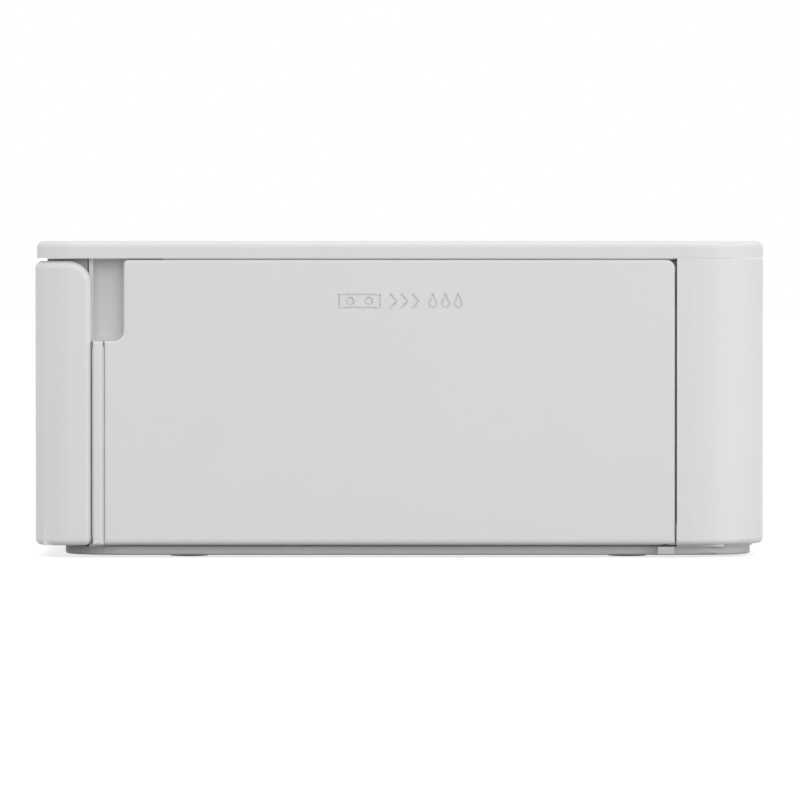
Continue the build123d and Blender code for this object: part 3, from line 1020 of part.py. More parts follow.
with BuildPart() as pickup_shaft:
    shaft_reach = PICKUP_ROLLER_WIDTH / 2 + ROLLER_END_GAP
    rod((roller_x[0] - shaft_reach, roller_x[1] + shaft_reach), PICKUP, PICKUP_SHAFT_R)
finish(pickup_shaft, "pickup_shaft")

with BuildPart() as pickup_rollers:
    for x in roller_x:
        wheel_x = (x - PICKUP_ROLLER_WIDTH / 2, x + PICKUP_ROLLER_WIDTH / 2)
        rod(wheel_x, PICKUP, PICKUP_ROLLER_R)
        rod(wheel_x, PICKUP, PICKUP_SHAFT_R, Mode.SUBTRACT)
finish(pickup_rollers, "pickup_rollers")

# --- print head -------------------------------------------------------------------------
HEAD_X = (MECHANISM_X - HEAD_LENGTH / 2, MECHANISM_X + HEAD_LENGTH / 2)
SINK_Z = HEAD_TIP_Z + HEAD_THICKNESS
with BuildPart() as head_carrier:
    carrier_x = (PLATE_IN[0] + 2 * PLAY, PLATE_IN[1] - 2 * PLAY)
    plate_z = (HEAD_PLATE_Z, HEAD_PLATE_Z + HEAD_PLATE_THICKNESS)
    block((carrier_x[0], CASSETTE_BODY_X - 2 * PLAY), (HEAD_PIVOT_Y, HEAD_PLATE_REAR_Y), plate_z)
    block(carrier_x, (HEAD_PIVOT_Y, SUPPLY_Y), plate_z)
    for boss_x in ((carrier_x[0], carrier_x[0] + HEAD_BOSS_LENGTH),
                   (carrier_x[1] - HEAD_BOSS_LENGTH, carrier_x[1])):
        rod(boss_x, HEAD_PIVOT, HEAD_BOSS_R)
    rod((LEFT_PLATE_X - SHEET, carrier_x[0] + HEAD_BOSS_LENGTH / 2), HEAD_PIVOT, HEAD_PIVOT_R)
    rod((carrier_x[1] - HEAD_BOSS_LENGTH / 2, OUTER_END), HEAD_PIVOT, HEAD_PIVOT_R)
    arm_x = (carrier_x[0], CASSETTE_LEFT_X - 2 * PLAY)
    block(arm_x, (CAM_Y - FOLLOWER_ARM, HEAD_PLATE_REAR_Y),
          (CAM_FOLLOWER_Z - FOLLOWER_ARM / 2, HEAD_PLATE_Z))
    rod((CAM_LAYER_X + GEAR_WIDTH + PLAY, arm_x[1]), (CAM_Y, CAM_FOLLOWER_Z), CAM_FOLLOWER_R)
finish(head_carrier, "head_carrier")

with BuildPart() as heat_sink:
    sink_y = (HEAD_TIP_Y - HEAD_WIDTH / 2, HEAD_TIP_Y + HEAD_WIDTH / 2)
    block(HEAD_X, sink_y, (SINK_Z, SINK_Z + HEAT_SINK_BASE))
    pitch = (HEAD_WIDTH - HEAT_SINK_FIN) / (HEAT_SINK_FINS - 1)
    for number in range(HEAT_SINK_FINS):
        fin_y = sink_y[0] + number * pitch
        block(HEAD_X, (fin_y, fin_y + HEAT_SINK_FIN), (SINK_Z, HEAD_PLATE_Z))
finish(heat_sink, "heat_sink")

with BuildPart() as thermal_head:
    bead_r = HEAD_THICKNESS / 2
    block(HEAD_X, sink_y, (HEAD_TIP_Z + bead_r / 2, SINK_Z))
    rod(HEAD_X, (HEAD_TIP_Y, HEAD_TIP_Z + bead_r), bead_r)
finish(thermal_head, "thermal_head")

CAM_TOP_R = CAM_FOLLOWER_Z - CAM_FOLLOWER_R - PLAY - CAM_Z
CAM_LOW_R = CAM_TOP_R - radians(HEAD_LIFT_ANGLE) * (CAM_Y - HEAD_PIVOT_Y)
cam_phase = 0.0
cam_pinion_phase = mesh_phase(cam_phase, CAM_TEETH, CAM_PINION_TEETH, bearing(CAM, CAM_PINION))


def cam_radius(turn):
    """The cam's radius at a turn, in degrees, back from its top."""
    fall = (CAM_TOP_R - CAM_LOW_R) / CAM_TURN
    if turn <= CAM_TURN + CAM_DWELL:
        return CAM_TOP_R - fall * turn
    back = (turn - CAM_TURN - CAM_DWELL) / (360 - CAM_TURN - 2 * CAM_DWELL)
    low = CAM_LOW_R - fall * CAM_DWELL
    return low + (CAM_TOP_R + fall * CAM_DWELL - low) * back


with BuildPart() as head_cam:
    cam_x = (CAM_LAYER_X + GEAR_WIDTH + 2 * PLAY, CAM_LAYER_X + GEAR_WIDTH + 2 * PLAY + CAM_WIDTH)
    with BuildSketch(plate_plane(cam_x[0])):
        with BuildLine():
            turns = [number * 360 / CAM_POINTS - CAM_DWELL for number in range(CAM_POINTS)]
            Spline(*[beside(CAM, cam_radius(turn), 90 - turn) for turn in turns], periodic=True)
        make_face()
    extrude(amount=CAM_WIDTH)
    extrude(gear_face(CAM, CAM_TEETH, cam_phase, CAM_LAYER_X), amount=GEAR_WIDTH)
    rod((GEAR_PLATE_X, PLATE_IN[0]), CAM, CAM_SHAFT_R)
finish(head_cam, "head_cam")

with BuildPart() as cam_motor:
    motor(CAM_PINION, (GEAR_PLATE_X - CAM_MOTOR_LENGTH, GEAR_PLATE_X), CAM_MOTOR_R, BEARING_X, EAR_X)
finish(cam_motor, "cam_motor")

with BuildPart() as cam_pinion:
    extrude(gear_face(CAM_PINION, CAM_PINION_TEETH, cam_pinion_phase, CAM_LAYER_X), amount=GEAR_WIDTH)
    rod((BEARING_X[0] + PLAY, CAM_LAYER_X), CAM_PINION, MOTOR_SHAFT_R)
finish(cam_pinion, "cam_pinion")

# --- ink cassette -----------------------------------------------------------------------
BAR_Z = RIBBON_Z + RIBBON_THICKNESS + RUNNING_FIT + RIBBON_BAR_R
BAR_Y = (PLATEN_Y - RIBBON_BAR_SPACING / 2, PLATEN_Y + RIBBON_BAR_SPACING / 2)


def ribbon_run(spool_y, roll_r, bar_y):
    """Where the ribbon leaves a roll and where it meets a guide bar, as (y, z) points."""
    side = 1 if bar_y > spool_y else -1
    leave_r = roll_r + FILM_OFFSET
    meet_r = RIBBON_BAR_R + FILM_OFFSET
    across = abs(bar_y - spool_y)
    down = BAR_Z - SPOOL_Z
    angle = atan2(down, across) - acos((leave_r - meet_r) / hypot(across, down))
    leave = (spool_y + side * leave_r * cos(angle), SPOOL_Z + leave_r * sin(angle))
    meet = (bar_y + side * meet_r * cos(angle), BAR_Z + meet_r * sin(angle))
    return leave, meet


RUNS = {SUPPLY_Y: ribbon_run(SUPPLY_Y, SUPPLY_ROLL_R, BAR_Y[0]),
        TAKEUP_Y: ribbon_run(TAKEUP_Y, TAKEUP_ROLL_R, BAR_Y[1])}


def end_profile(x, panel):
    """The outline of a cassette end: two round housings on a low beam, or on a full panel."""
    with BuildSketch(plate_plane(x)) as face:
        for y in (SUPPLY_Y, TAKEUP_Y):
            with Locations((y, SPOOL_Z)):
                Circle(SPOOL_HOUSING_R)
            with Locations((y, (CASSETTE_BEAM_Z + SPOOL_Z) / 2)):
                Rectangle(CASSETTE_WEB, SPOOL_Z - CASSETTE_BEAM_Z)
        top = SPOOL_Z + SPOOL_HOUSING_R / 2 if panel else CASSETTE_BEAM_TOP_Z
        with Locations(((SUPPLY_Y + TAKEUP_Y) / 2, (CASSETTE_BEAM_Z + top) / 2)):
            Rectangle(TAKEUP_Y - SUPPLY_Y + CASSETTE_WEB, top - CASSETTE_BEAM_Z)
        for y in (SUPPLY_Y, TAKEUP_Y):
            with Locations((y, SPOOL_Z)):
                Circle(SPOOL_JOURNAL_R + RUNNING_FIT, mode=Mode.SUBTRACT)
    return face.sketch


with BuildPart() as ink_cassette_case:
    tube_x = (CASSETTE_LEFT_X + CASSETTE_END, CASSETTE_BODY_X)
    with BuildSketch(plate_plane(tube_x[0])):
        for y, roll_r in ((SUPPLY_Y, SUPPLY_ROLL_R), (TAKEUP_Y, TAKEUP_ROLL_R)):
            with Locations((y, SPOOL_Z)):
                Circle(SPOOL_HOUSING_R)
                Circle(SPOOL_HOUSING_R - SPOOL_HOUSING_WALL, mode=Mode.SUBTRACT)
            leave, meet = RUNS[y]
            to_wall = (SPOOL_HOUSING_R**2 - (roll_r + FILM_OFFSET) ** 2) ** 0.5
            slit = beside(leave, to_wall, bearing(leave, meet))
            with Locations(Location((*slit, 0), bearing(leave, meet))):
                Rectangle(4 * SPOOL_HOUSING_WALL, RIBBON_SLIT, mode=Mode.SUBTRACT)
    extrude(amount=tube_x[1] - tube_x[0])
    for y in BAR_Y:
        rod(tube_x, (y, BAR_Z), RIBBON_BAR_R)
    extrude(end_profile(CASSETTE_LEFT_X, False), amount=CASSETTE_END)
    extrude(end_profile(CASSETTE_BODY_X, True), amount=CASSETTE_END)
    shell_x = (CASSETTE_BODY_X + CASSETTE_END, CASSETTE_RIGHT_X)
    shell_size = (TAKEUP_Y - SUPPLY_Y + 2 * SPOOL_HOUSING_R, 2 * SPOOL_HOUSING_R)
    with BuildSketch(plate_plane(shell_x[0])):
        with Locations(((SUPPLY_Y + TAKEUP_Y) / 2, SPOOL_Z)):
            RectangleRounded(*shell_size, SPOOL_HOUSING_R / 2)
    extrude(amount=shell_x[1] - shell_x[0])
    fillet(ink_cassette_case.faces().sort_by(Axis.X)[-1].edges(), SPOOL_HOUSING_WALL)
    with BuildSketch(plate_plane(shell_x[0])):
        with Locations(((SUPPLY_Y + TAKEUP_Y) / 2, SPOOL_Z)):
            RectangleRounded(*[side - 2 * CASSETTE_SHELL_WALL for side in shell_size],
                             SPOOL_HOUSING_R / 2 - CASSETTE_SHELL_WALL)
    extrude(amount=shell_x[1] - shell_x[0] - CASSETTE_END, mode=Mode.SUBTRACT)
finish(ink_cassette_case, "ink_cassette_case")


def spool(y, roll_r):
    """A spool with journals, flanges and its roll of ribbon, on the active part."""
    centre = (y, SPOOL_Z)
    rod((CASSETTE_LEFT_X, CASSETTE_BODY_X + CASSETTE_END - PLAY), centre, SPOOL_JOURNAL_R)
    rod(PAPER_X, centre, roll_r)
    for flange_x in ((PAPER_X[0] - SPOOL_FLANGE, PAPER_X[0]), (PAPER_X[1], PAPER_X[1] + SPOOL_FLANGE)):
        rod(flange_x, centre, SPOOL_HOUSING_R - SPOOL_HOUSING_WALL - 2 * PLAY)


with BuildPart() as supply_spool:
    spool(SUPPLY_Y, SUPPLY_ROLL_R)
finish(supply_spool, "supply_spool")

SOCKET_X = (CASSETTE_LEFT_X, CASSETTE_LEFT_X + HUB_REACH + 2 * PLAY)
with BuildPart() as takeup_spool:
    spool(TAKEUP_Y, TAKEUP_ROLL_R)
    rod(SOCKET_X, HUB, HUB_SOCKET_R, Mode.SUBTRACT)
    for number in range(HUB_FINS):
        with BuildSketch(plate_plane(SOCKET_X[0])):
            with Locations(Location((*HUB, 0), (number + 0.75) * 360 / HUB_FINS)):
                with Locations(((HUB_SOCKET_R + HUB_R + PLAY) / 2 + PLAY, 0)):
                    Rectangle(HUB_SOCKET_R - HUB_R, HUB_FIN)
        extrude(amount=SOCKET_X[1] - SOCKET_X[0])
finish(takeup_spool, "takeup_spool")

with BuildPart() as ribbon_film:
    with BuildSketch(plate_plane(PAPER_X[0])):
        with BuildLine():
            low = BAR_Z - RIBBON_BAR_R - FILM_OFFSET
            Polyline(RUNS[SUPPLY_Y][0], RUNS[SUPPLY_Y][1], (BAR_Y[0], low), (BAR_Y[1], low),
                     RUNS[TAKEUP_Y][1], RUNS[TAKEUP_Y][0])
        trace(line_width=RIBBON_THICKNESS)
    extrude(amount=PAPER_WIDTH)
finish(ribbon_film, "ribbon_film")

hub_phase = 0.0
ribbon_phase = mesh_phase(hub_phase, HUB_TEETH, RIBBON_PINION_TEETH, bearing(HUB, RIBBON_PINION))
with BuildPart() as takeup_hub:
    extrude(gear_face(HUB, HUB_TEETH, hub_phase, HUB_LAYER_X), amount=GEAR_WIDTH)
    rod((HUB_LAYER_X, CASSETTE_LEFT_X), HUB, HUB_SHAFT_R)
    rod((PLATE_IN[0] + PLAY, CASSETTE_LEFT_X + HUB_REACH), HUB, HUB_R)
    with BuildSketch(plate_plane(CASSETTE_LEFT_X - 2 * PLAY)):
        for number in range(HUB_FINS):
            with Locations(Location((*HUB, 0), (number + 0.25) * 360 / HUB_FINS)):
                with Locations((HUB_FIN_R / 2, 0)):
                    Rectangle(HUB_FIN_R, HUB_FIN)
    extrude(amount=HUB_REACH + 2 * PLAY)
finish(takeup_hub, "takeup_hub")

ribbon_motor_x = (GEAR_PLATE_X + SHEET, GEAR_PLATE_X + SHEET + RIBBON_MOTOR_LENGTH)
with BuildPart() as ribbon_motor:
    motor(RIBBON_PINION, ribbon_motor_x, RIBBON_MOTOR_R,
          (ribbon_motor_x[1] - MOTOR_BEARING, ribbon_motor_x[1]),
          (ribbon_motor_x[0], ribbon_motor_x[0] + MOTOR_FLANGE), level=True)
finish(ribbon_motor, "ribbon_motor")

with BuildPart() as ribbon_pinion:
    extrude(gear_face(RIBBON_PINION, RIBBON_PINION_TEETH, ribbon_phase, HUB_LAYER_X), amount=GEAR_WIDTH)
    rod((ribbon_motor_x[1] - MOTOR_BEARING + PLAY, HUB_LAYER_X), RIBBON_PINION, MOTOR_SHAFT_R)
finish(ribbon_pinion, "ribbon_pinion")

# --- boards and sockets -----------------------------------------------------------------
BOARD_BOTTOM = BOARD_TOP - BOARD_THICKNESS
with BuildPart() as control_board:
    block(BOARD_X, BOARD_Y, (BOARD_BOTTOM, BOARD_TOP))
    for key in KEYS.values():
        x, y = key_centre(key)
        block((x - SWITCH_SIZE / 2, x + SWITCH_SIZE / 2), (y - SWITCH_SIZE / 2, y + SWITCH_SIZE / 2),
              (BOARD_TOP, SWITCH_TOP))
finish(control_board, "control_board")

with BuildPart() as main_board:
    block((MAIN_BOARD_LEFT_X, MAIN_BOARD_RIGHT_X), (MAIN_BOARD_FRONT_Y, MAIN_BOARD_REAR_Y),
          (MAIN_BOARD_Z, MAIN_TOP))
    for (from_right, from_rear), side, height in CHIPS:
        x = MAIN_BOARD_RIGHT_X - from_right
        y = MAIN_BOARD_REAR_Y - from_rear
        block((x - side / 2, x + side / 2), (y - side / 2, y + side / 2), (MAIN_TOP, MAIN_TOP + height))
finish(main_board, "main_board")

PORT_X0 = -INNER_X + PLAY                    # outer ends of the sockets, inside the shell
with BuildPart() as card_slot:
    depth, width, height = CARD_SLOT
    slot_y = (CARD_SLOT_Y - width / 2, CARD_SLOT_Y + width / 2)
    block((PORT_X0, PORT_X0 + depth), slot_y, (MAIN_TOP, MAIN_TOP + height))
    block((PORT_X0, PORT_X0 + depth - SHEET), (slot_y[0] + SHEET, slot_y[1] - SHEET),
          (MAIN_TOP + USB_SHELL_WALL, MAIN_TOP + height - USB_SHELL_WALL), Mode.SUBTRACT)
finish(card_slot, "card_slot")

with BuildPart() as usb_port:
    depth, width, height = USB_PORT
    middle = (USB_PORT_Y, MAIN_TOP + height / 2)
    with BuildSketch(plate_plane(PORT_X0)):
        with Locations(middle):
            RectangleRounded(width, height, height / 2 - RUNNING_FIT)
    extrude(amount=depth)
    with BuildSketch(plate_plane(PORT_X0)):
        with Locations(middle):
            RectangleRounded(width - 2 * USB_SHELL_WALL, height - 2 * USB_SHELL_WALL,
                             height / 2 - USB_SHELL_WALL - RUNNING_FIT)
    extrude(amount=depth - SHEET, mode=Mode.SUBTRACT)
    block((PORT_X0 + SHEET, PORT_X0 + depth), (USB_PORT_Y - width / 4, USB_PORT_Y + width / 4),
          (middle[1] - USB_SHELL_WALL, middle[1] + USB_SHELL_WALL))
finish(usb_port, "usb_port")

with BuildPart() as dc_jack:
    block((JACK_X - JACK_SIZE[0] / 2, JACK_X + JACK_SIZE[0] / 2), (JACK_FRONT_Y, JACK_REAR_Y),
          (JACK_Z - JACK_SIZE[2] / 2, JACK_Z + JACK_SIZE[2] / 2))
    with BuildSketch(Plane(origin=(JACK_X, JACK_REAR_Y, JACK_Z), x_dir=(-1, 0, 0), z_dir=(0, 1, 0))):
        Circle(JACK_MOUTH_R - PLAY)
    extrude(amount=REAR_Y - PLAY - JACK_REAR_Y)
    with BuildSketch(Plane(origin=(JACK_X, REAR_Y, JACK_Z), x_dir=(-1, 0, 0), z_dir=(0, -1, 0))):
        Circle(JACK_BORE_R)
        Circle(JACK_PIN_R, mode=Mode.SUBTRACT)
    extrude(amount=JACK_BORE_DEPTH, mode=Mode.SUBTRACT)
finish(dc_jack, "dc_jack")

# --- fan --------------------------------------------------------------------------------
FAN = (FAN_Y, FAN_Z)
FAN_X = (-INNER_X, -INNER_X + FAN_THICKNESS)
strut_x = (FAN_X[1] - FAN_STRUT_DEPTH, FAN_X[1])
with BuildPart() as fan_housing:
    with BuildSketch(plate_plane(FAN_X[0])):
        with Locations(FAN):
            RectangleRounded(FAN_SIZE, FAN_SIZE, FAN_CORNER_R)
            Circle(FAN_BORE_R, mode=Mode.SUBTRACT)
            with GridLocations(FAN_SIZE - 2 * FAN_HOLE_INSET, FAN_SIZE - 2 * FAN_HOLE_INSET, 2, 2):
                Circle(SCREW_R, mode=Mode.SUBTRACT)
    extrude(amount=FAN_THICKNESS)
    with BuildSketch(plate_plane(strut_x[0])):
        with Locations(FAN):
            Circle(FAN_HUB_R)
            with PolarLocations(0, FAN_STRUTS, start_angle=90):
                with Locations((FAN_BORE_R / 2, 0)):
                    Rectangle(FAN_BORE_R + PAST, FAN_STRUT)
    extrude(amount=FAN_STRUT_DEPTH)
    rod(strut_x, FAN, FAN_PIN_R + RUNNING_FIT, Mode.SUBTRACT)
finish(fan_housing, "fan_housing")

rotor_x = (FAN_X[0] + 2 * PLAY, strut_x[0] - PLAY)
with BuildPart() as fan_rotor:
    rod(rotor_x, FAN, FAN_HUB_R)
    middle_x = (rotor_x[0] + rotor_x[1]) / 2
    rod((middle_x, strut_x[1]), FAN, FAN_PIN_R)
    blade_tip = FAN_BORE_R - FAN_BLADE_GAP
    chord = (rotor_x[1] - rotor_x[0]) * FAN_BLADE_SHARE
    for number in range(FAN_BLADES):
        turn = 2 * pi * number / FAN_BLADES
        root = beside(FAN, FAN_HUB_R - SHEET, degrees(turn))
        blade_plane = Plane(origin=(middle_x, *root), x_dir=(1, 0, 0), z_dir=(0, cos(turn), sin(turn)))
        with BuildSketch(blade_plane):
            Rectangle(chord, FAN_BLADE, rotation=FAN_BLADE_PITCH)
        extrude(amount=blade_tip - FAN_HUB_R)
finish(fan_rotor, "fan_rotor")
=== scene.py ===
"""Dresses the compact photo printer: finishes, small surface detail, studio and camera."""

import logging
import math
from dataclasses import dataclass
from enum import Enum
from typing import Sequence

import bmesh
import bpy
from mathutils import Matrix, Vector


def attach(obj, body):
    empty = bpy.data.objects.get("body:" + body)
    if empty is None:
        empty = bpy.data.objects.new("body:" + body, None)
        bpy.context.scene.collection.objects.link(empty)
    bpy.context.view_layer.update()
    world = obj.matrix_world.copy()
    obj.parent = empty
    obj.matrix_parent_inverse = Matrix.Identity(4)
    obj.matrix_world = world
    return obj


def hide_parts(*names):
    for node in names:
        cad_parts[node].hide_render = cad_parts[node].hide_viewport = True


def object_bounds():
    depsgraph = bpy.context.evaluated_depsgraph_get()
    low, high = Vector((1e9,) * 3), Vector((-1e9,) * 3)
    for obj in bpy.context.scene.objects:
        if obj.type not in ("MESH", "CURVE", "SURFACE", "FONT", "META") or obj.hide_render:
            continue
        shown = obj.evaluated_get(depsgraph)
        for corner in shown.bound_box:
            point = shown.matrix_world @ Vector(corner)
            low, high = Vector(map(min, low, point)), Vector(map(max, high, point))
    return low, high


LOG = logging.getLogger("printer")
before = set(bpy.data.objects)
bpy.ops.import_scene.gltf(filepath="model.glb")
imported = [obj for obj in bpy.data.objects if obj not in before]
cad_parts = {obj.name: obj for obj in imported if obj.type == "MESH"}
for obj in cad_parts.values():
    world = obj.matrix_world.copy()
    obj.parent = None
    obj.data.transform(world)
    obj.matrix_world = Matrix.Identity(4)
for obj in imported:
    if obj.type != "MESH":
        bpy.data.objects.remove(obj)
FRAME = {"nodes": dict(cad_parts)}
CAD_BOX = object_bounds()

MM = 0.001
HALF_WIDTH = round(CAD_BOX[1][0] / MM, 2)  # the ink door's outer face, in mm, as all sizes below
WINDOW_TOP = round(CAD_BOX[1][2] / MM, 2)  # the display window is the highest face
KEY_TOP = WINDOW_TOP - 0.1
BODY = "printer_body"
SMOOTH_ANGLE = math.radians(32.0)          # edges below it are smooth on drafted pieces
BLEND_ANGLE = math.radians(20.0)           # and on the marked copy of a CAD node
SQUARE = 0.99999                           # least share of a normal along one axis on a square face

Point = Sequence[float]


# --- shader and mesh tools ------------------------------------------------------------------
class NodeBuilder:
    """Adds nodes to one tree and links them."""

    def __init__(self, tree: bpy.types.NodeTree) -> None:
        """Work on a tree."""
        self.tree = tree

    def add(self, kind: str, **settings: object) -> bpy.types.Node:
        """Add a node and set its properties, or feed its inputs, by name with _ for a space.

        Args:
            kind: The node's type name.
            settings: Property values, and what is fed to the inputs.

        Returns:
            The new node.
        """
        node = self.tree.nodes.new(kind)
        for key, value in settings.items():
            if hasattr(node, key):
                setattr(node, key, value)
            else:
                self.feed(node.inputs[key.replace("_", " ")], value)
        return node

    def feed(self, target: bpy.types.NodeSocket, value: object) -> None:
        """Link an output to an input, or set the input to a constant."""
        if isinstance(value, bpy.types.NodeSocket):
            self.tree.links.new(value, target)
        else:
            target.default_value = value

    def computed(self, operation: str, first: object, second: object) -> bpy.types.NodeSocket:
        """The result of an operation on two values."""
        node = self.add("ShaderNodeMath", operation=operation)
        self.feed(node.inputs[0], first)
        self.feed(node.inputs[1], second)
        return node.outputs[0]


class ShaderBuilder(NodeBuilder):
    """Builds one material round its principled surface."""

    def __init__(self, name: str) -> None:
        """Start a new node material of a name."""
        self.material = bpy.data.materials.new(name)
        self.material.use_nodes = True
        super().__init__(self.material.node_tree)
        self.surface = self.tree.nodes["Principled BSDF"]
        self.place = self.add("ShaderNodeTexCoord")

    def set(self, **values: object) -> None:
        """Feed inputs of the surface by name, with _ for a space."""
        for key, value in values.items():
            self.feed(self.surface.inputs[key.replace("_", " ")], value)

    def noise(self, size: float, detail: float = 2.0, stretch: Point = (1, 1, 1)) -> bpy.types.NodeSocket:
        """Noise in object space.

        Args:
            size: Feature size in mm.
            detail: Octaves of finer noise.
            stretch: Scale along each axis, below 1 to draw the noise out.

        Returns:
            The noise value's output.
        """
        mapping = self.add("ShaderNodeMapping", Scale=stretch, Vector=self.place.outputs["Object"])
        return self.add("ShaderNodeTexNoise", Scale=1.0 / (size * MM), Detail=detail,
                        Vector=mapping.outputs["Vector"]).outputs["Fac"]

    def spread(self, source: bpy.types.NodeSocket, low: float, high: float,
               start: float = 0.3, end: float = 0.7) -> bpy.types.NodeSocket:
        """Map a value to a range.

        Args:
            source: The value.
            low: The result at the start of the source's range.
            high: The result at its end.
            start: Where the source's range begins.
            end: Where it ends.

        Returns:
            The mapped value's output.
        """
        return self.add("ShaderNodeMapRange", From_Min=start, From_Max=end, To_Min=low, To_Max=high,
                        Value=source).outputs["Result"]

    def tint(self, source: bpy.types.NodeSocket, low: Point, high: Point) -> None:
        """Colour the surface between two colours by a value from 0 to 1."""
        mix = self.add("ShaderNodeMix", data_type="RGBA", Factor=source)
        slots = [socket for socket in mix.inputs if socket.type == "RGBA"]
        slots[0].default_value = (*low, 1)
        slots[1].default_value = (*high, 1)
        self.set(Base_Color=next(socket for socket in mix.outputs if socket.type == "RGBA"))

    def tone(self, source: bpy.types.NodeSocket, color: Point, darker: float, lighter: float) -> None:
        """Vary the surface round one colour by a value, from a share darker to a share lighter."""
        self.tint(source, shaded(color, -darker), shaded(color, lighter))

    def rough(self, source: bpy.types.NodeSocket, low: float, high: float) -> None:
        """Vary the surface's roughness by a noise."""
        self.set(Roughness=self.spread(source, low, high))

    def bump(self, sources: Sequence[tuple[bpy.types.NodeSocket, float]]) -> None:
        """Raise the surface by one or more heights, each with its depth in mm."""
        normal = None
        for source, depth in sources:
            node = self.add("ShaderNodeBump", Distance=depth * MM, Strength=1.0, Height=source)
            if normal:
                self.feed(node.inputs["Normal"], normal)
            normal = node.outputs["Normal"]
        self.set(Normal=normal)


def shaded(color: Point, share: float) -> tuple[float, ...]:
    """A colour made lighter or darker by a share."""
    return tuple(min(1.0, channel * (1 + share)) for channel in color)


class Axis(Enum):
    """The axis that a turned or extruded form follows."""

    X = 0
    Y = 1
    Z = 2

    def place(self, along: float, first: float, second: float) -> Vector:
        """A point in mm from its place along the axis and in the two others, in cyclic order."""
        point = [0.0, 0.0, 0.0]
        point[self.value] = along
        point[(self.value + 1) % 3] = first
        point[(self.value + 2) % 3] = second
        return Vector(point) * MM


class Draft:
    """A mesh in the making. All its methods take mm in the part's frame and add to the same mesh."""

    def __init__(self) -> None:
        """Start an empty mesh."""
        self.work = bmesh.new()

    def box(self, low: Point, high: Point, edge: float = 0.0) -> "Draft":
        """Add a block between two corners.

        Args:
            low: The lowest corner.
            high: The highest corner.
            edge: Width of the rounds on all edges.

        Returns:
            This draft.
        """
        size = [b - a for a, b in zip(low, high)]
        middle = Vector([(a + b) / 2 for a, b in zip(low, high)]) * MM
        made = bmesh.ops.create_cube(self.work, size=1.0, matrix=Matrix.Translation(middle)
                                     @ Matrix.Diagonal((*[side * MM for side in size], 1)))
        if edge:
            edges = list({link for vert in made["verts"] for link in vert.link_edges})
            bmesh.ops.bevel(self.work, geom=edges, offset=edge * MM, segments=2, profile=0.6, affect="EDGES")
        return self

    def lathe(self, axis: Axis, centre: Point, profile: Sequence[Point], sides: int = 40) -> "Draft":
        """Turn a closed or an open outline about an axis.

        Args:
            axis: The axis to turn about.
            centre: The axis's place in the two other directions, in cyclic order.
            profile: Points as (place along the axis, radius); ends at radius 0 are closed.
            sides: Faces round the turn.

        Returns:
            This draft.
        """
        rings: list[list[bmesh.types.BMVert]] = []
        for along, radius in profile:
            count = 1 if radius < 1e-6 else sides
            rings.append([self.work.verts.new(axis.place(
                along, centre[0] + radius * math.cos(math.tau * k / sides),
                centre[1] + radius * math.sin(math.tau * k / sides))) for k in range(count)])
        made = []
        for low, high in zip(rings, rings[1:]):
            for k in range(sides):
                corners = [low[k % len(low)], low[(k + 1) % len(low)],
                           high[(k + 1) % len(high)], high[k % len(high)]]
                kept = list(dict.fromkeys(corners))
                if len(kept) > 2:
                    made.append(self.work.faces.new(kept))
        bmesh.ops.recalc_face_normals(self.work, faces=made)
        return self

    def slab(self, axis: Axis, outline: Sequence[Point], span: Point) -> "Draft":
        """Extrude a flat outline along an axis.

        Args:
            axis: The axis to extrude along.
            outline: Points in the two other directions, in cyclic order.
            span: Start and end along the axis.

        Returns:
            This draft.
        """
        ends = [[self.work.verts.new(axis.place(along, *point)) for point in outline] for along in span]
        made = [self.work.faces.new(ends[0]), self.work.faces.new(ends[1])]
        count = len(outline)
        for k in range(count):
            made.append(self.work.faces.new([ends[0][k], ends[0][(k + 1) % count],
                                             ends[1][(k + 1) % count], ends[1][k]]))
        bmesh.ops.recalc_face_normals(self.work, faces=made)
        return self

    def mesh(self, name: str) -> bpy.types.Mesh:
        """End the draft as a mesh, smooth where its faces meet at a low angle."""
        mesh = bpy.data.meshes.new(name)
        bmesh.ops.triangulate(self.work, faces=[face for face in self.work.faces if len(face.verts) > 4])
        self.work.to_mesh(mesh)
        self.work.free()
        mesh.polygons.foreach_set("use_smooth", [True] * len(mesh.polygons))
        mesh.set_sharp_from_angle(angle=SMOOTH_ANGLE)
        return mesh


def arc(centre: Point, radius: float, start: float, end: float, steps: int = 12) -> list[tuple[float, float]]:
    """Points on an arc.

    Args:
        centre: The arc's centre.
        radius: Its radius.
        start: Its first angle in degrees.
        end: Its last angle in degrees.
        steps: How many pieces it is divided into.

    Returns:
        The points, from start to end.
    """
    turns = [math.radians(start + (end - start) * k / steps) for k in range(steps + 1)]
    return [(centre[0] + radius * math.cos(turn), centre[1] + radius * math.sin(turn)) for turn in turns]


def band(points: Sequence[Point], width: float, ends_round: bool = True) -> list[tuple[float, float]]:
    """The outline of a stroke drawn along some points.

    Args:
        points: The stroke's middle line.
        width: The stroke's width.
        ends_round: Whether its ends are round.

    Returns:
        The closed outline.
    """
    line = [Vector(point) for point in points]
    left, right = [], []
    for k, point in enumerate(line):
        way = (line[min(k + 1, len(line) - 1)] - line[max(k - 1, 0)]).normalized()
        side = Vector((-way.y, way.x)) * width / 2
        left.append(point + side)
        right.append(point - side)
    if not ends_round:
        return [tuple(p) for p in left + right[::-1]]
    last = math.degrees(math.atan2(*(line[-1] - line[-2]).yx))
    first = math.degrees(math.atan2(*(line[0] - line[1]).yx))
    head = arc(line[-1], width / 2, last + 90, last - 90, 8)[1:-1]
    tail = arc(line[0], width / 2, first + 90, first - 90, 8)[1:-1]
    return [tuple(p) for p in left] + head + [tuple(p) for p in right[::-1]] + tail


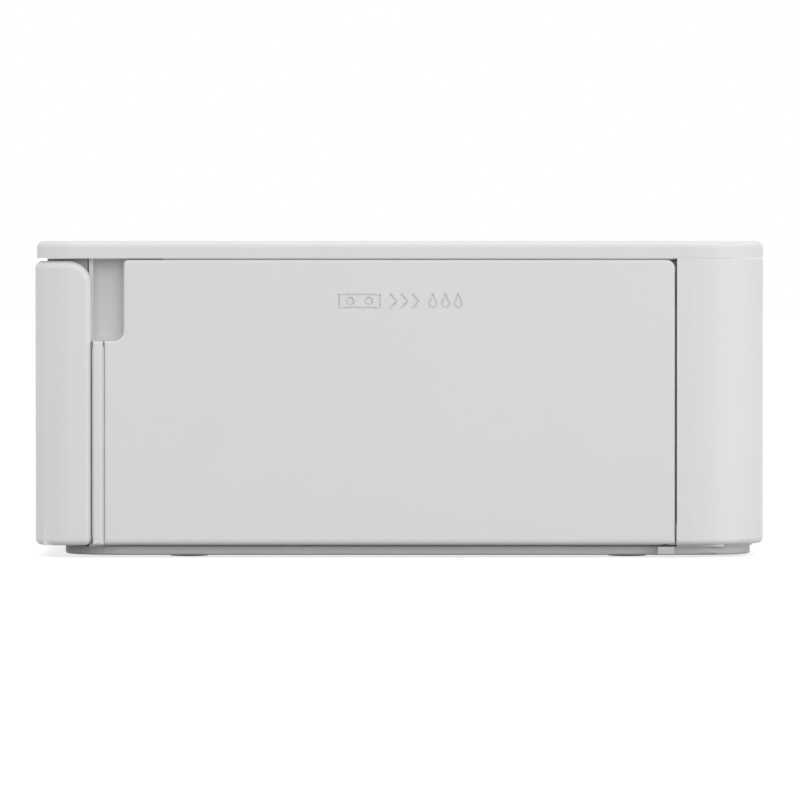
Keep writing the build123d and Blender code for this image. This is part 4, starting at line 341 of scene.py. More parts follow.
def round_rect(low: Point, high: Point, radius: float) -> list[tuple[float, float]]:
    """The outline of a rectangle with round corners."""
    x0, y0, x1, y1 = low[0] + radius, low[1] + radius, high[0] - radius, high[1] - radius
    corners = (((x1, y0), -90), ((x1, y1), 0), ((x0, y1), 90), ((x0, y0), 180))
    return [point for centre, start in corners for point in arc(centre, radius, start, start + 90, 6)]


# --- finishes -------------------------------------------------------------------------------
class Grain(Enum):
    """The way a brushed or turned surface is drawn out."""

    ALONG_X = (0.02, 1.0, 1.0)
    EVEN = (1.0, 1.0, 1.0)


@dataclass(frozen=True)
class Surface:
    """A named finish, whose kinds below say how their shader is filled."""

    name: str

    def fill(self, shader: ShaderBuilder) -> None:
        """Add the finish's nodes to a new material."""
        raise NotImplementedError

    def material(self) -> bpy.types.Material:
        """Build the finish's material."""
        shader = ShaderBuilder(self.name)
        self.fill(shader)
        return shader.material


@dataclass(frozen=True)
class MouldedPlastic(Surface):
    """A moulded plastic with a fine eroded grain and a slight unevenness of tone."""

    color: tuple[float, float, float]
    roughness: float = 0.5
    grain: float = 0.35
    grain_depth: float = 0.006
    tone_spread: float = 0.012
    specular: float = 0.4

    def fill(self, shader: ShaderBuilder) -> None:
        """Add the uneven tone, the gloss and the grain over a faint waviness."""
        shader.set(Specular_IOR_Level=self.specular)
        shader.tone(shader.noise(18, 3.0), self.color, self.tone_spread, self.tone_spread)
        shader.rough(shader.noise(2.5), self.roughness - 0.05, self.roughness + 0.05)
        shader.bump([(shader.noise(self.grain, 3.0), self.grain_depth), (shader.noise(22, 1.0), 0.01)])


@dataclass(frozen=True)
class BrushedMetal(Surface):
    """Rolled sheet, turned rod or extrusion, with fine drawn lines and faint smears."""

    color: tuple[float, float, float]
    roughness: float = 0.32
    grain: Grain = Grain.ALONG_X
    line: float = 0.12

    def fill(self, shader: ShaderBuilder) -> None:
        """Add the smears and the drawn lines."""
        shader.set(Metallic=1.0)
        lines = shader.noise(self.line, 2.0, self.grain.value)
        shader.tone(shader.noise(9, 3.0), self.color, 0.07, 0.05)
        shader.rough(lines, self.roughness - 0.09, self.roughness + 0.1)
        shader.bump([(lines, 0.003), (shader.noise(6), 0.01)])


@dataclass(frozen=True)
class SpangledSheet(Surface):
    """Zinc-coated steel sheet: broad crystal flakes of slightly different grey and gloss."""

    color: tuple[float, float, float]
    flake: float = 3.2

    def fill(self, shader: ShaderBuilder) -> None:
        """Add the flakes, each with its own tone and gloss."""
        shader.set(Metallic=1.0)
        cells = shader.add("ShaderNodeTexVoronoi", Scale=1.0 / (self.flake * MM),
                           Vector=shader.place.outputs["Object"])
        flakes = shader.add("ShaderNodeSeparateColor", Color=cells.outputs["Color"])
        shader.tone(flakes.outputs["Red"], self.color, 0.09, 0.08)
        shader.set(Roughness=shader.spread(flakes.outputs["Green"], 0.28, 0.42, 0.0, 1.0))
        shader.bump([(shader.noise(0.3, 3.0), 0.003), (shader.noise(12), 0.02)])


@dataclass(frozen=True)
class GroundRubber(Surface):
    """Matte rubber with a ground, slightly dusty surface."""

    color: tuple[float, float, float]
    roughness: float = 0.82

    def fill(self, shader: ShaderBuilder) -> None:
        """Add the dust and the ground texture."""
        shader.set(Specular_IOR_Level=0.25)
        shader.tone(shader.noise(1.6, 4.0), self.color, 0.18, 0.3)
        shader.rough(shader.noise(0.8), self.roughness - 0.08, self.roughness + 0.08)
        shader.bump([(shader.noise(0.2, 3.0), 0.02)])


@dataclass(frozen=True)
class GlossPanel(Surface):
    """A gloss cover or film with faint wipe marks."""

    color: tuple[float, float, float]
    roughness: float = 0.1
    specular: float = 0.3

    def fill(self, shader: ShaderBuilder) -> None:
        """Add the wipe marks and a slight warp."""
        shader.set(Specular_IOR_Level=self.specular)
        shader.tone(shader.noise(30), self.color, 0.1, 0.1)
        shader.rough(shader.noise(4, 4.0, (0.3, 1.0, 1.0)), self.roughness, self.roughness + 0.05)
        shader.bump([(shader.noise(35), 0.004)])


@dataclass(frozen=True)
class CircuitBoard(Surface):
    """Solder mask over copper tracks, drawn as a fine net of joined lines."""

    mask: tuple[float, float, float] = (0.012, 0.09, 0.045)
    track: tuple[float, float, float] = (0.035, 0.2, 0.1)
    pitch: float = 2.2

    def fill(self, shader: ShaderBuilder) -> None:
        """Add the tracks and the mask over them."""
        cells = shader.add("ShaderNodeTexVoronoi", distance="CHEBYCHEV", feature="F1", Randomness=0.55,
                           Scale=1.0 / (self.pitch * MM), Vector=shader.place.outputs["Object"])
        tracks = shader.spread(cells.outputs["Distance"], 0.0, 1.0, 0.34, 0.42)
        shader.tint(tracks, self.mask, self.track)
        shader.rough(shader.noise(3), 0.22, 0.34)
        shader.bump([(tracks, 0.02)])


@dataclass(frozen=True)
class RibbonFilm(Surface):
    """Thin dye ribbon: broad panels of several dyes one after another, slightly creased."""

    panel: float = 22.0
    start: float = -22.0
    dyes: tuple[tuple[float, float, float, float], ...] = (  # place along three panels, then the colour
        (0.0, 0.62, 0.46, 0.03), (0.36, 0.42, 0.03, 0.14), (0.7, 0.02, 0.17, 0.36))

    def fill(self, shader: ShaderBuilder) -> None:
        """Add the dye panels and the creases along them."""
        shader.set(Coat_Weight=0.4, Coat_Roughness=0.08)
        part = shader.add("ShaderNodeSeparateXYZ", Vector=shader.place.outputs["Object"])
        along = shader.spread(part.outputs["Y"], 0.0, 1.0, self.start * MM,
                              (self.start + len(self.dyes) * self.panel) * MM)
        ramp = shader.add("ShaderNodeValToRGB", Fac=along)
        ramp.color_ramp.interpolation = "CONSTANT"
        stops = ramp.color_ramp.elements
        stops.new(self.dyes[-1][0])
        for stop, (position, *color) in zip(stops, self.dyes):
            stop.position = position
            stop.color = (*color, 1)
        shader.set(Base_Color=ramp.outputs["Color"])
        shader.rough(shader.noise(5, 3.0, (0.2, 1, 1)), 0.16, 0.3)
        shader.bump([(shader.noise(7, 2.0, (0.15, 1, 1)), 0.05)])


class Finish(Enum):
    """Every finish on the printer."""

    SHELL = MouldedPlastic("shell_plastic", (0.72, 0.72, 0.722), roughness=0.46)
    INSIDE = MouldedPlastic("inner_plastic", (0.16, 0.163, 0.168), roughness=0.55, tone_spread=0.04)
    FRAME = MouldedPlastic("frame_plastic", (0.40, 0.40, 0.402), roughness=0.55, tone_spread=0.02)
    # the base is the shell's white plastic; its darker grey here is painted shade under the door's overhang
    SHADED_BASE = MouldedPlastic("base_plastic_painted_shade", (0.50, 0.50, 0.502), roughness=0.6, grain=0.6, grain_depth=0.02)
    DARK = MouldedPlastic("dark_plastic", (0.028, 0.029, 0.031), roughness=0.42, tone_spread=0.08)
    CASSETTE = MouldedPlastic("cassette_plastic", (0.10, 0.105, 0.115), roughness=0.38, tone_spread=0.05)
    GEAR = MouldedPlastic("gear_plastic", (0.70, 0.68, 0.62), roughness=0.38, grain=0.2, tone_spread=0.03)
    KEY = MouldedPlastic("key_plastic", (0.63, 0.63, 0.632), roughness=0.42)
    SOCKET = MouldedPlastic("socket_plastic", (0.02, 0.02, 0.021), roughness=0.5, tone_spread=0.1)
    PRINT = MouldedPlastic("printed_ink", (0.14, 0.143, 0.15), grain_depth=0.002, tone_spread=0.04)
    CERAMIC = MouldedPlastic("chip_ceramic", (0.42, 0.33, 0.2), roughness=0.4, grain=0.15, tone_spread=0.12)
    FOOT = GroundRubber("foot_rubber", (0.06, 0.06, 0.06))
    ROLLER = GroundRubber("roller_rubber", (0.045, 0.045, 0.048))
    SHEET = SpangledSheet("zinc_sheet", (0.56, 0.57, 0.58))
    SHAFT = BrushedMetal("ground_steel", (0.6, 0.6, 0.61), roughness=0.2, grain=Grain.EVEN)
    CAN = BrushedMetal("motor_can", (0.52, 0.52, 0.53), roughness=0.3)
    FINS = BrushedMetal("extruded_aluminium", (0.68, 0.68, 0.69), roughness=0.34)
    SCREW = BrushedMetal("screw_steel", (0.36, 0.36, 0.37), roughness=0.3, grain=Grain.EVEN)
    SOLDER = BrushedMetal("tinned_leads", (0.66, 0.66, 0.64), roughness=0.26, grain=Grain.EVEN)
    BRASS = BrushedMetal("turned_brass", (0.66, 0.49, 0.22), roughness=0.26, grain=Grain.EVEN)
    WINDOW = GlossPanel("display_cover", (0.008, 0.008, 0.01))
    SCREEN = GlossPanel("screen_off", (0.022, 0.024, 0.03), roughness=0.16)
    GLAZE = GlossPanel("head_glaze", (0.35, 0.31, 0.24), roughness=0.16)
    BOARD = CircuitBoard("circuit_board")
    FILM = RibbonFilm("dye_ribbon")


_made: dict[Finish, bpy.types.Material] = {}


def finish_of(finish: Finish) -> bpy.types.Material:
    """The material of a finish, made once."""
    if finish not in _made:
        _made[finish] = finish.value.material()
    return _made[finish]


def dress(node: str, finish: Finish) -> None:
    """Give a CAD node, whose shape stays as it is, its finish through its material slots."""
    for slot in FRAME["nodes"][node].material_slots:
        slot.material = finish_of(finish)
    LOG.info("%s: dressed in %s", node, finish.value.name)


def add_piece(name: str, mesh: bpy.types.Mesh, finish: Finish, body: str = BODY,
              stands_for: Sequence[str] = ()) -> bpy.types.Object:
    """Link a finished mesh to the scene, dressed and riding on a body.

    Args:
        name: The piece's name.
        mesh: Its mesh, in the part's frame.
        finish: Its finish, unless the mesh brings its own.
        body: The CAD body that carries it.
        stands_for: CAD nodes that it replaces.

    Returns:
        The new object.
    """
    mesh.name = name
    obj = bpy.data.objects.new(name, mesh)
    bpy.context.scene.collection.objects.link(obj)
    if not len(mesh.materials):
        mesh.materials.append(finish_of(finish))
    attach(obj, body)
    if stands_for:
        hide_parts(*stands_for)
    LOG.info("%s: %d faces on %s", name, len(mesh.polygons), body)
    return obj


def evaluated(obj: bpy.types.Object) -> bpy.types.Mesh:
    """The mesh that an object's modifiers give; the object itself is taken away."""
    mesh = bpy.data.meshes.new_from_object(obj.evaluated_get(bpy.context.evaluated_depsgraph_get()))
    bpy.data.objects.remove(obj)
    return mesh


def helper(name: str, mesh: bpy.types.Mesh) -> bpy.types.Object:
    """A plain object for a mesh, for as long as its modifiers are worked out."""
    obj = bpy.data.objects.new(name, mesh)
    bpy.context.scene.collection.objects.link(obj)
    return obj


def merged_copy(node: str) -> bpy.types.Mesh:
    """A copy of a CAD node's mesh with its loose triangles joined."""
    work = bmesh.new()
    work.from_mesh(FRAME["nodes"][node].data)
    bmesh.ops.remove_doubles(work, verts=work.verts, dist=0.002 * MM)
    bmesh.ops.dissolve_degenerate(work, dist=0.001 * MM, edges=work.edges)
    mesh = bpy.data.meshes.new(node + "_copy")
    work.to_mesh(mesh)
    work.free()
    return mesh


def plain_mesh(name: str, points: Sequence[Point], faces: Sequence[Sequence[int]] = ()) -> bpy.types.Mesh:
    """A mesh from points in mm and faces of point numbers."""
    mesh = bpy.data.meshes.new(name)
    mesh.from_pydata([tuple(value * MM for value in point) for point in points], [], faces)
    return mesh


def level_normals(mesh: bpy.types.Mesh) -> None:
    """Set corner normals that keep the square faces level and blend the rounds between them."""
    limit = math.cos(BLEND_ANGLE)
    around: list[list[bpy.types.MeshPolygon]] = [[] for _ in mesh.vertices]
    for face in mesh.polygons:
        for vert in face.vertices:
            around[vert].append(face)
    corners = [Vector()] * len(mesh.loops)
    for face in mesh.polygons:
        for loop in face.loop_indices:
            near = [other for other in around[mesh.loops[loop].vertex_index]
                    if other.normal.dot(face.normal) > limit]
            square = [other for other in near if max(map(abs, other.normal)) > SQUARE]
            total = sum((other.normal * other.area for other in square or near), Vector())
            corners[loop] = total.normalized()
    mesh.normals_split_custom_set(corners)


def sunk(node: str, cutter: Draft, finish: Finish, body: str) -> bpy.types.Object:
    """A copy of a CAD node with marks sunk into it, which stands for the node.

    Args:
        node: The CAD node's name.
        cutter: The closed forms to take away.
        finish: The piece's finish.
        body: The CAD body that carries it.

    Returns:
        The new piece.
    """
    tool = helper("tool", cutter.mesh("tool"))
    base = helper("base", merged_copy(node))
    cut = base.modifiers.new("sink", "BOOLEAN")
    cut.operation = "DIFFERENCE"
    cut.solver = "EXACT"
    cut.use_self = True
    cut.object = tool
    mesh = evaluated(base)
    bpy.data.objects.remove(tool)
    mesh.materials.clear()
    mesh.polygons.foreach_set("use_smooth", [True] * len(mesh.polygons))
    mesh.set_sharp_from_angle(angle=BLEND_ANGLE)
    level_normals(mesh)
    return add_piece(node + "_marked", mesh, finish, body, [node])


# --- repeated forms, made by Geometry Nodes ---------------------------------------------------
class NodeForm(NodeBuilder):
    """A Geometry Nodes tree with named inputs for its sizes, worked out once into a plain mesh."""

    def __init__(self, name: str) -> None:
        """Start a tree of a name that takes and gives geometry."""
        super().__init__(bpy.data.node_groups.new(name, "GeometryNodeTree"))
        for way in ("INPUT", "OUTPUT"):
            self.tree.interface.new_socket("Geometry", in_out=way, socket_type="NodeSocketGeometry")
        self.start = self.tree.nodes.new("NodeGroupInput")
        self.end = self.tree.nodes.new("NodeGroupOutput")
        self.values: dict[str, float] = {}

    def size(self, name: str, value: float, kind: str = "NodeSocketFloat") -> bpy.types.NodeSocket:
        """Add a named input.

        Args:
            name: The input's name.
            value: Its value.
            kind: Its socket type.

        Returns:
            The input's socket inside the tree.
        """
        made = self.tree.interface.new_socket(name, in_out="INPUT", socket_type=kind)
        self.values[made.identifier] = value
        return self.start.outputs[name]

    def vector(self, *parts: object) -> bpy.types.NodeSocket:
        """A vector of three sockets or numbers."""
        node = self.add("ShaderNodeCombineXYZ")
        for target, part in zip(node.inputs, parts):
            self.feed(target, part)
        return node.outputs["Vector"]

    def moved(self, made: bpy.types.NodeSocket, rise: object, **settings: object) -> bpy.types.NodeSocket:
        """A form moved up, and scaled where the settings say so."""
        return self.add("GeometryNodeTransform", Geometry=made, Translation=self.vector(0.0, 0.0, rise),
                        **settings).outputs["Geometry"]

    def run(self, made: bpy.types.NodeSocket, finish: Finish, base: bpy.types.Mesh) -> bpy.types.Mesh:
        """Realize the tree's result, give it its finish and work it out on a mesh.

        Args:
            made: The geometry that the tree gives.
            finish: Its finish.
            base: The mesh that goes into the tree.

        Returns:
            The plain result.
        """
        real = self.add("GeometryNodeRealizeInstances", Geometry=made)
        paint = self.add("GeometryNodeSetMaterial", Material=finish_of(finish),
                         Geometry=real.outputs["Geometry"])
        self.feed(self.end.inputs["Geometry"], paint.outputs["Geometry"])
        obj = helper("form", base)
        modifier = obj.modifiers.new("form", "NODES")
        modifier.node_group = self.tree
        for identifier, value in self.values.items():
            modifier[identifier] = value
        mesh = evaluated(obj)
        mesh.polygons.foreach_set("use_smooth", [True] * len(mesh.polygons))
        mesh.set_sharp_from_angle(angle=SMOOTH_ANGLE)
        kept = [material for material in mesh.materials if material]
        mesh.materials.clear()
        mesh.materials.append(kept[0])
        return mesh


@dataclass(frozen=True)
class CrossScrews:
    """Round-headed screws with a cross recess, all of one size and facing one way."""

    name: str
    places: tuple[tuple[float, float, float], ...]
    radius: float
    height: float
    crown: float                        # the crown's height over the head's radius
    turn: tuple[float, float, float] = (math.pi, 0.0, 0.0)  # heads that look down
    recess_width: float = 0.24          # over the head's radius
    recess_length: float = 1.15
    recess_rise: float = 0.6            # the recess's middle over the crown's height

    def build(self, stands_for: Sequence[str]) -> None:
        """Set a screw at each place, where the underside of its head lies, instead of the CAD's."""
        form = NodeForm(self.name)
        radius = form.size("head radius", self.radius * MM)
        height = form.size("head height", self.height * MM)
        recess = form.size("recess width", self.radius * self.recess_width * MM)
        length = form.size("recess length", self.radius * self.recess_length * MM)
        deep = form.size("recess depth", self.radius * self.crown * MM)
        rise = self.height / 2 + self.recess_rise * self.radius * self.crown
        middle = form.size("recess middle", rise * MM)
        half = form.computed("MULTIPLY", height, 0.5)
        head = form.add("GeometryNodeMeshCylinder", Vertices=28, Radius=radius, Depth=height)
        crown = form.add("GeometryNodeMeshUVSphere", Segments=28, Rings=14, Radius=radius)
        solid = form.add("GeometryNodeMeshBoolean", operation="UNION", Mesh_2=head.outputs["Mesh"])
        dome = form.moved(crown.outputs["Mesh"], half, Scale=(1.0, 1.0, self.crown))
        form.feed(solid.inputs["Mesh 2"], dome)
        cut = form.add("GeometryNodeMeshBoolean", operation="DIFFERENCE", Mesh_1=solid.outputs["Mesh"])
        for sides in ((length, recess), (recess, length)):
            blade = form.add("GeometryNodeMeshCube", Size=form.vector(*sides, deep))
            form.feed(cut.inputs["Mesh 2"], form.moved(blade.outputs["Mesh"], middle))
        spread = form.add("GeometryNodeInstanceOnPoints", Points=form.start.outputs["Geometry"],
                          Instance=form.moved(cut.outputs["Mesh"], half), Rotation=self.turn)
        mesh = form.run(spread.outputs["Instances"], Finish.SCREW, plain_mesh("dots", self.places))
        add_piece(self.name, mesh, Finish.SCREW, BODY, stands_for)


@dataclass(frozen=True)
class BlockRow:
    """Equal small blocks in a row, such as ribs."""

    name: str
    first: tuple[float, float, float]
    step: tuple[float, float, float]
    count: int
    size: tuple[float, float, float]
    finish: Finish
    body: str

    def build(self) -> None:
        """Set the blocks, each about its own middle."""
        form = NodeForm(self.name)
        count = form.size("count", self.count, "NodeSocketInt")
        width, depth, height = (form.size(name, value * MM)
                                for name, value in zip(("width", "depth", "height"), self.size))
        row = form.add("GeometryNodeMeshLine", mode="OFFSET", Count=count,
                       Start_Location=[value * MM for value in self.first],
                       Offset=[value * MM for value in self.step])
        block = form.add("GeometryNodeMeshCube", Size=form.vector(width, depth, height))
        spread = form.add("GeometryNodeInstanceOnPoints", Points=row.outputs["Mesh"],
                          Instance=block.outputs["Mesh"])
        mesh = form.run(spread.outputs["Instances"], self.finish, plain_mesh("dot", [self.first]))
        add_piece(self.name, mesh, self.finish, self.body)


@dataclass(frozen=True)
class SmallParts:
    """Tiny soldered parts strewn over a free field of a board, at a fixed seed."""

    name: str
    low: tuple[float, float]
    high: tuple[float, float]
    height: float
    finish: Finish
    seed: int
    size: tuple[float, float, float] = (1.6, 0.8, 0.55)
    apart: float = 2.2
    density: float = 400000.0           # points per square metre, before the least distance

    def build(self) -> None:
        """Strew the parts, each square to the board and turned by quarter turns."""
        x0, y0, x1, y1 = *self.low, *self.high
        corners = [(x, y, self.height) for x, y in ((x0, y0), (x1, y0), (x1, y1), (x0, y1))]
        form = NodeForm(self.name)
        apart = form.size("least distance", self.apart * MM)
        density = form.size("density", self.density)
        seed = form.size("seed", self.seed, "NodeSocketInt")
        sides = [form.size(name, value * MM)
                 for name, value in zip(("length", "width", "thickness"), self.size)]
        strewn = form.add("GeometryNodeDistributePointsOnFaces", distribute_method="POISSON",
                          Mesh=form.start.outputs["Geometry"], Distance_Min=apart, Density_Max=density,
                          Seed=seed)
        block = form.add("GeometryNodeMeshCube", Size=form.vector(*sides))
        quarter = form.add("FunctionNodeRandomValue", data_type="INT", Seed=seed)
        quarter.inputs[4].default_value = 0
        quarter.inputs[5].default_value = 1
        turn = form.computed("MULTIPLY", quarter.outputs[2], math.pi / 2)
        spread = form.add("GeometryNodeInstanceOnPoints", Points=strewn.outputs["Points"],
                          Instance=form.moved(block.outputs["Mesh"], self.size[2] * MM / 2),
                          Rotation=form.vector(0.0, 0.0, turn))
        mesh = form.run(spread.outputs["Instances"], self.finish, plain_mesh("field", corners, [range(4)]))
        add_piece(self.name, mesh, self.finish)


# --- the outside ------------------------------------------------------------------------------
@dataclass
class Shell:
    """The white outer mouldings, the base and what the hinges turn on."""

    white: tuple[str, ...] = ("body_casing", "side_frame", "top_cover", "front_cover")
    # hinge pins painted dark as shade: their dark plastic stands in for the shadow in the seams
    pins_dark_as_shade: tuple[str, ...] = ("ink_door_pins", "front_cover_pins")
    lips: tuple[tuple[str, Point, Point], ...] = (
        ("door_seam_lip", (89.3, -53.97, 2.5), (90.86, -53.76, 38.4)),
        ("door_top_lip", (89.3, -43.0, 54.26), (90.8, 49.8, 54.52)),
        ("strip_front_lip", (89.3, -55.96, 3.6), (90.5, -55.79, 38.4)))

    def dress(self) -> None:
        """Dress the mouldings, whose shapes are the CAD's, paint the hinge pins dark as painted shade, and
        set thin lips inside the seams.
        """
        for node in self.white:
            dress(node, Finish.SHELL)
        # the hinge pins get dark plastic as painted shade, so that they read as the seams' shadow
        for node in self.pins_dark_as_shade:
            dress(node, Finish.DARK)
        # the base plate's grey is darker than the shell's white as painted shade under the door
        dress("base_plate", Finish.SHADED_BASE)
        dress("front_frame", Finish.FRAME)
        for name, low, high in self.lips:
            add_piece(name, Draft().box(low, high, edge=0.05).mesh("lip"), Finish.SHELL)


@dataclass
class DoorMark:
    """The ink door's round lower edge and its low-contrast sunk mark: a cassette, arrows and drops."""

    left: float = -11.3
    low: float = 45.2
    high: float = 48.0
    depth: float = 0.25
    stroke: float = 0.42
    case_width: float = 7.4
    case_gap: float = 0.7               # between the case's sides and its long lines
    reels: tuple[float, ...] = (2.0, 5.4)
    reel_radius: float = 0.62
    arrows: tuple[float, ...] = (9.4, 11.4, 13.4)
    arrow_reach: float = 1.0
    arrow_join: tuple[float, float] = (0.72, 0.38)  # where the lower arm ends, short of the tip
    drops: tuple[float, ...] = (17.0, 19.3, 21.6)
    drop_radius: float = 0.66
    drop_rise: float = 0.95
    edge_span: tuple[float, float] = (-56.0, 52.0)
    lower_round: tuple[tuple[float, float], ...] = (
        (1.9, 91.4), (3.4, 91.4), (3.34, 91.09), (2.95, 91.02), (2.66, 90.82), (2.45, 90.5), (2.33, 90.0),
        (2.3, 89.0), (1.9, 89.0))

    def cutter(self) -> Draft:
        """The closed forms that are taken off the door: the mark's strokes and the round's outside."""
        draft = Draft()
        span = (HALF_WIDTH - self.depth, HALF_WIDTH + 0.2)
        middle = (self.low + self.high) / 2

        def stroke(points: Sequence[Point], ends_round: bool = True) -> None:
            """Sink one stroke."""
            draft.slab(Axis.X, band(points, self.stroke, ends_round), span)

        edge = self.stroke / 2
        y0, z0, z1 = self.left + edge, self.low + edge, self.high - edge
        for y in (y0, y0 + self.case_width):
            stroke([(y, z0), (y, z1)])
        for z in (z0, z1):
            stroke([(y0 + self.case_gap, z), (y0 + self.case_width - self.case_gap, z)])
        for place in self.reels:
            stroke(arc((y0 + place, middle), self.reel_radius, 0.0, 359.0, 24), False)
        join_y, join_z = self.arrow_join
        for y in (y0 + place for place in self.arrows):
            stroke([(y, z1), (y + self.arrow_reach, middle)])
            stroke([(y, z0), (y + join_y, middle - join_z)])
        for place in self.drops:
            belly = (y0 + place, self.low + self.drop_rise)
            tip = (belly[0], z1 + 0.1)
            stroke([tip, *arc(belly, self.drop_radius, 150, 390, 20), tip])
        draft.slab(Axis.Y, self.lower_round, self.edge_span)
        return draft

    def build(self) -> None:
        """Make the marked door, which stands for the plain one."""
        sunk("ink_door", self.cutter(), Finish.SHELL, "ink_door")


@dataclass
class TopPanel:
    """The display under its gloss cover and the keys with their printed signs."""

    ink: float = 0.03
    thin: float = 0.45
    wide: float = 0.5
    power: tuple[float, float] = (71.0, 25.0)
    menu: tuple[float, float] = (37.0, 25.0)
    back: tuple[float, float] = (37.0, -33.0)
    start: tuple[float, float] = (68.0, -33.0)
    pad: tuple[float, float] = (54.0, -4.0)
    pad_radius: float = 11.4            # to the middles of the four signs round the pad
    screen: tuple[float, float, float, float] = (-72.0, -31.0, 4.0, 19.0)

    def sign(self, key: str, middle: Point, outlines: Sequence[Sequence[Point]]) -> None:
        """Print a sign on a key, which it rides on.

        Args:
            key: The key's name.
            middle: The key's middle.
            outlines: The sign's closed outlines, drawn about it.
        """
        draft = Draft()
        for outline in outlines:
            placed = [(middle[0] + x, middle[1] + y) for x, y in outline]
            draft.slab(Axis.Z, placed, (KEY_TOP - 0.01, KEY_TOP + self.ink))
        add_piece(key + "_sign", draft.mesh("sign"), Finish.PRINT, key + "_button")

    def signs(self) -> None:
        """Print every key's sign."""
        thin, wide = self.thin, self.wide
        self.sign("power", self.power, [
            band(arc((0, 0), 1.9, 125, 415, 30), thin), band([(0, 0.6), (0, 2.5)], thin)])
        self.sign("menu", self.menu, [band([(-2.2, y), (2.2, y)], wide) for y in (-1.3, 0.0, 1.3)])
        self.sign("back", self.back, [
            band([(-1.6, 0.9), (0.9, 0.9), *arc((0.9, -0.3), 1.2, 80, -90, 12), (-1.2, -1.5)], thin),
            [(-2.9, 0.9), (-1.5, 1.9), (-1.5, -0.1)]])
        self.sign("print", self.start, [
            band([(-2.6, -0.9), (-2.6, 0.9), (2.6, 0.9), (2.6, -0.9)], thin),
            band([(-1.5, 1.3), (-1.5, 2.5), (1.5, 2.5), (1.5, 1.3)], 0.4),
            band([(-1.5, -0.4), (-1.5, -2.3), (1.5, -2.3), (1.5, -0.4)], 0.4)])
        self.sign("ok", self.pad, [
            band(arc((0, 0), 1.7, 0, 358, 32), wide, False), arc((0, 0), 0.55, 0, 345, 16)])
        for key, turn in (("right", 0), ("up", 90), ("left", 180), ("down", 270)):
            middle = arc((0, 0), self.pad_radius, turn, turn, 1)[0]
            self.sign(key, self.pad, [arc(middle, 1.15, turn, turn + 240, 2)])

    def build(self) -> None:
        """Dress the keys and the display, and print the signs."""
        for key in ("power", "menu", "back", "print", "ok", "right", "up", "left", "down"):
            dress(key + "_button", Finish.KEY)
        dress("display_window", Finish.WINDOW)
        dress("display_module", Finish.INSIDE)
        x0, y0, x1, y1 = self.screen
        span = (WINDOW_TOP - 0.05, WINDOW_TOP + 0.01)
        screen = Draft().slab(Axis.Z, round_rect((x0, y0), (x1, y1), 0.8), span)
        add_piece("display_screen", screen.mesh("screen"), Finish.SCREEN)
        self.signs()


@dataclass
class Underside:
    """The base with its feet, cross-recess screws and a bare framed field."""

    screws: tuple[tuple[float, float], ...] = ((-82.0, -28.0), (-82.0, 30.0), (82.0, -48.0), (82.0, 56.0))
    head_top: float = 1.25

    def build(self) -> None:
        """Dress the feet and set the screws."""
        dress("rubber_feet", Finish.FOOT)
        CrossScrews("base_screw_heads", tuple((x, y, self.head_top) for x, y in self.screws),
                    radius=2.35, height=0.3, crown=0.2).build(["base_screws"])


# --- the inside -------------------------------------------------------------------------------
@dataclass
class Electronics:
    """Both circuit boards with their parts, the sockets and the card reader."""

    main_top: float = 15.0

    def build(self) -> None:
        """Dress the boards and sockets, and solder the small parts on."""
        dress("control_board", Finish.BOARD)
        dress("main_board", Finish.BOARD)
        dress("card_slot", Finish.SHEET)
        dress("usb_port", Finish.CAN)
        dress("dc_jack", Finish.SOCKET)
        SmallParts("main_board_resistors", (-62.5, -52.0), (-55.0, -8.0), self.main_top, Finish.CERAMIC,
                   seed=11).build()
        SmallParts("main_board_capacitors", (-79.0, -21.5), (-64.0, -19.8), self.main_top, Finish.SOLDER,
                   size=(1.0, 0.6, 0.4), seed=5).build()


@dataclass
class Mechanism:
    """Plates, shafts, rollers, gears, motors and the printing head, in their real finishes."""

    plates: tuple[str, ...] = ("left_side_plate", "right_side_plate", "gear_plate", "chassis_pan")
    shafts: tuple[str, ...] = ("capstan_shaft", "platen_shaft", "pickup_shaft")
    gears: tuple[str, ...] = ("capstan_gear", "platen_gear", "idler_gear", "head_cam", "takeup_hub")
    rubbers: tuple[str, ...] = ("platen_rubber", "pinch_roller", "pickup_rollers")
    motors: tuple[tuple[str, float, float, float, float], ...] = (  # name, y, z, radius, end
        ("feed_motor", 50.4, 32.5, 10.0, -83.5), ("cam_motor", 10.7, 40.8, 7.5, -82.5),
        ("ribbon_motor", 31.1, 44.4, 6.0, -69.5))
    boss: tuple[tuple[float, float], ...] = (  # place past the motor's end, share of its radius
        (0.02, 0.55), (0.35, 0.52), (0.35, 0.3), (0.9, 0.26), (0.9, 0.0))

    def motor_details(self) -> None:
        """Give each motor its pressed end ring and its bearing boss."""
        for name, y, z, radius, end in self.motors:
            profile = [(end - past, radius * share) for past, share in self.boss]
            add_piece(name + "_boss", Draft().lathe(Axis.X, (y, z), profile, 36).mesh("cap"), Finish.BRASS)

    def build(self) -> None:
        """Dress every moving and holding part of the mechanism."""
        for names, finish in ((self.plates, Finish.SHEET), (self.shafts, Finish.SHAFT),
                              (self.gears, Finish.GEAR), (self.rubbers, Finish.ROLLER)):
            for node in names:
                dress(node, finish)
        for node in ("feed_pinion", "cam_pinion", "ribbon_pinion"):
            dress(node, Finish.BRASS)
        for motor in self.motors:
            dress(motor[0], Finish.CAN)
        dress("paper_guides", Finish.INSIDE)
        dress("pickup_arm", Finish.DARK)
        dress("head_carrier", Finish.SHEET)
        dress("heat_sink", Finish.FINS)
        dress("thermal_head", Finish.GLAZE)
        dress("fan_housing", Finish.DARK)
        dress("fan_rotor", Finish.DARK)
        self.motor_details()


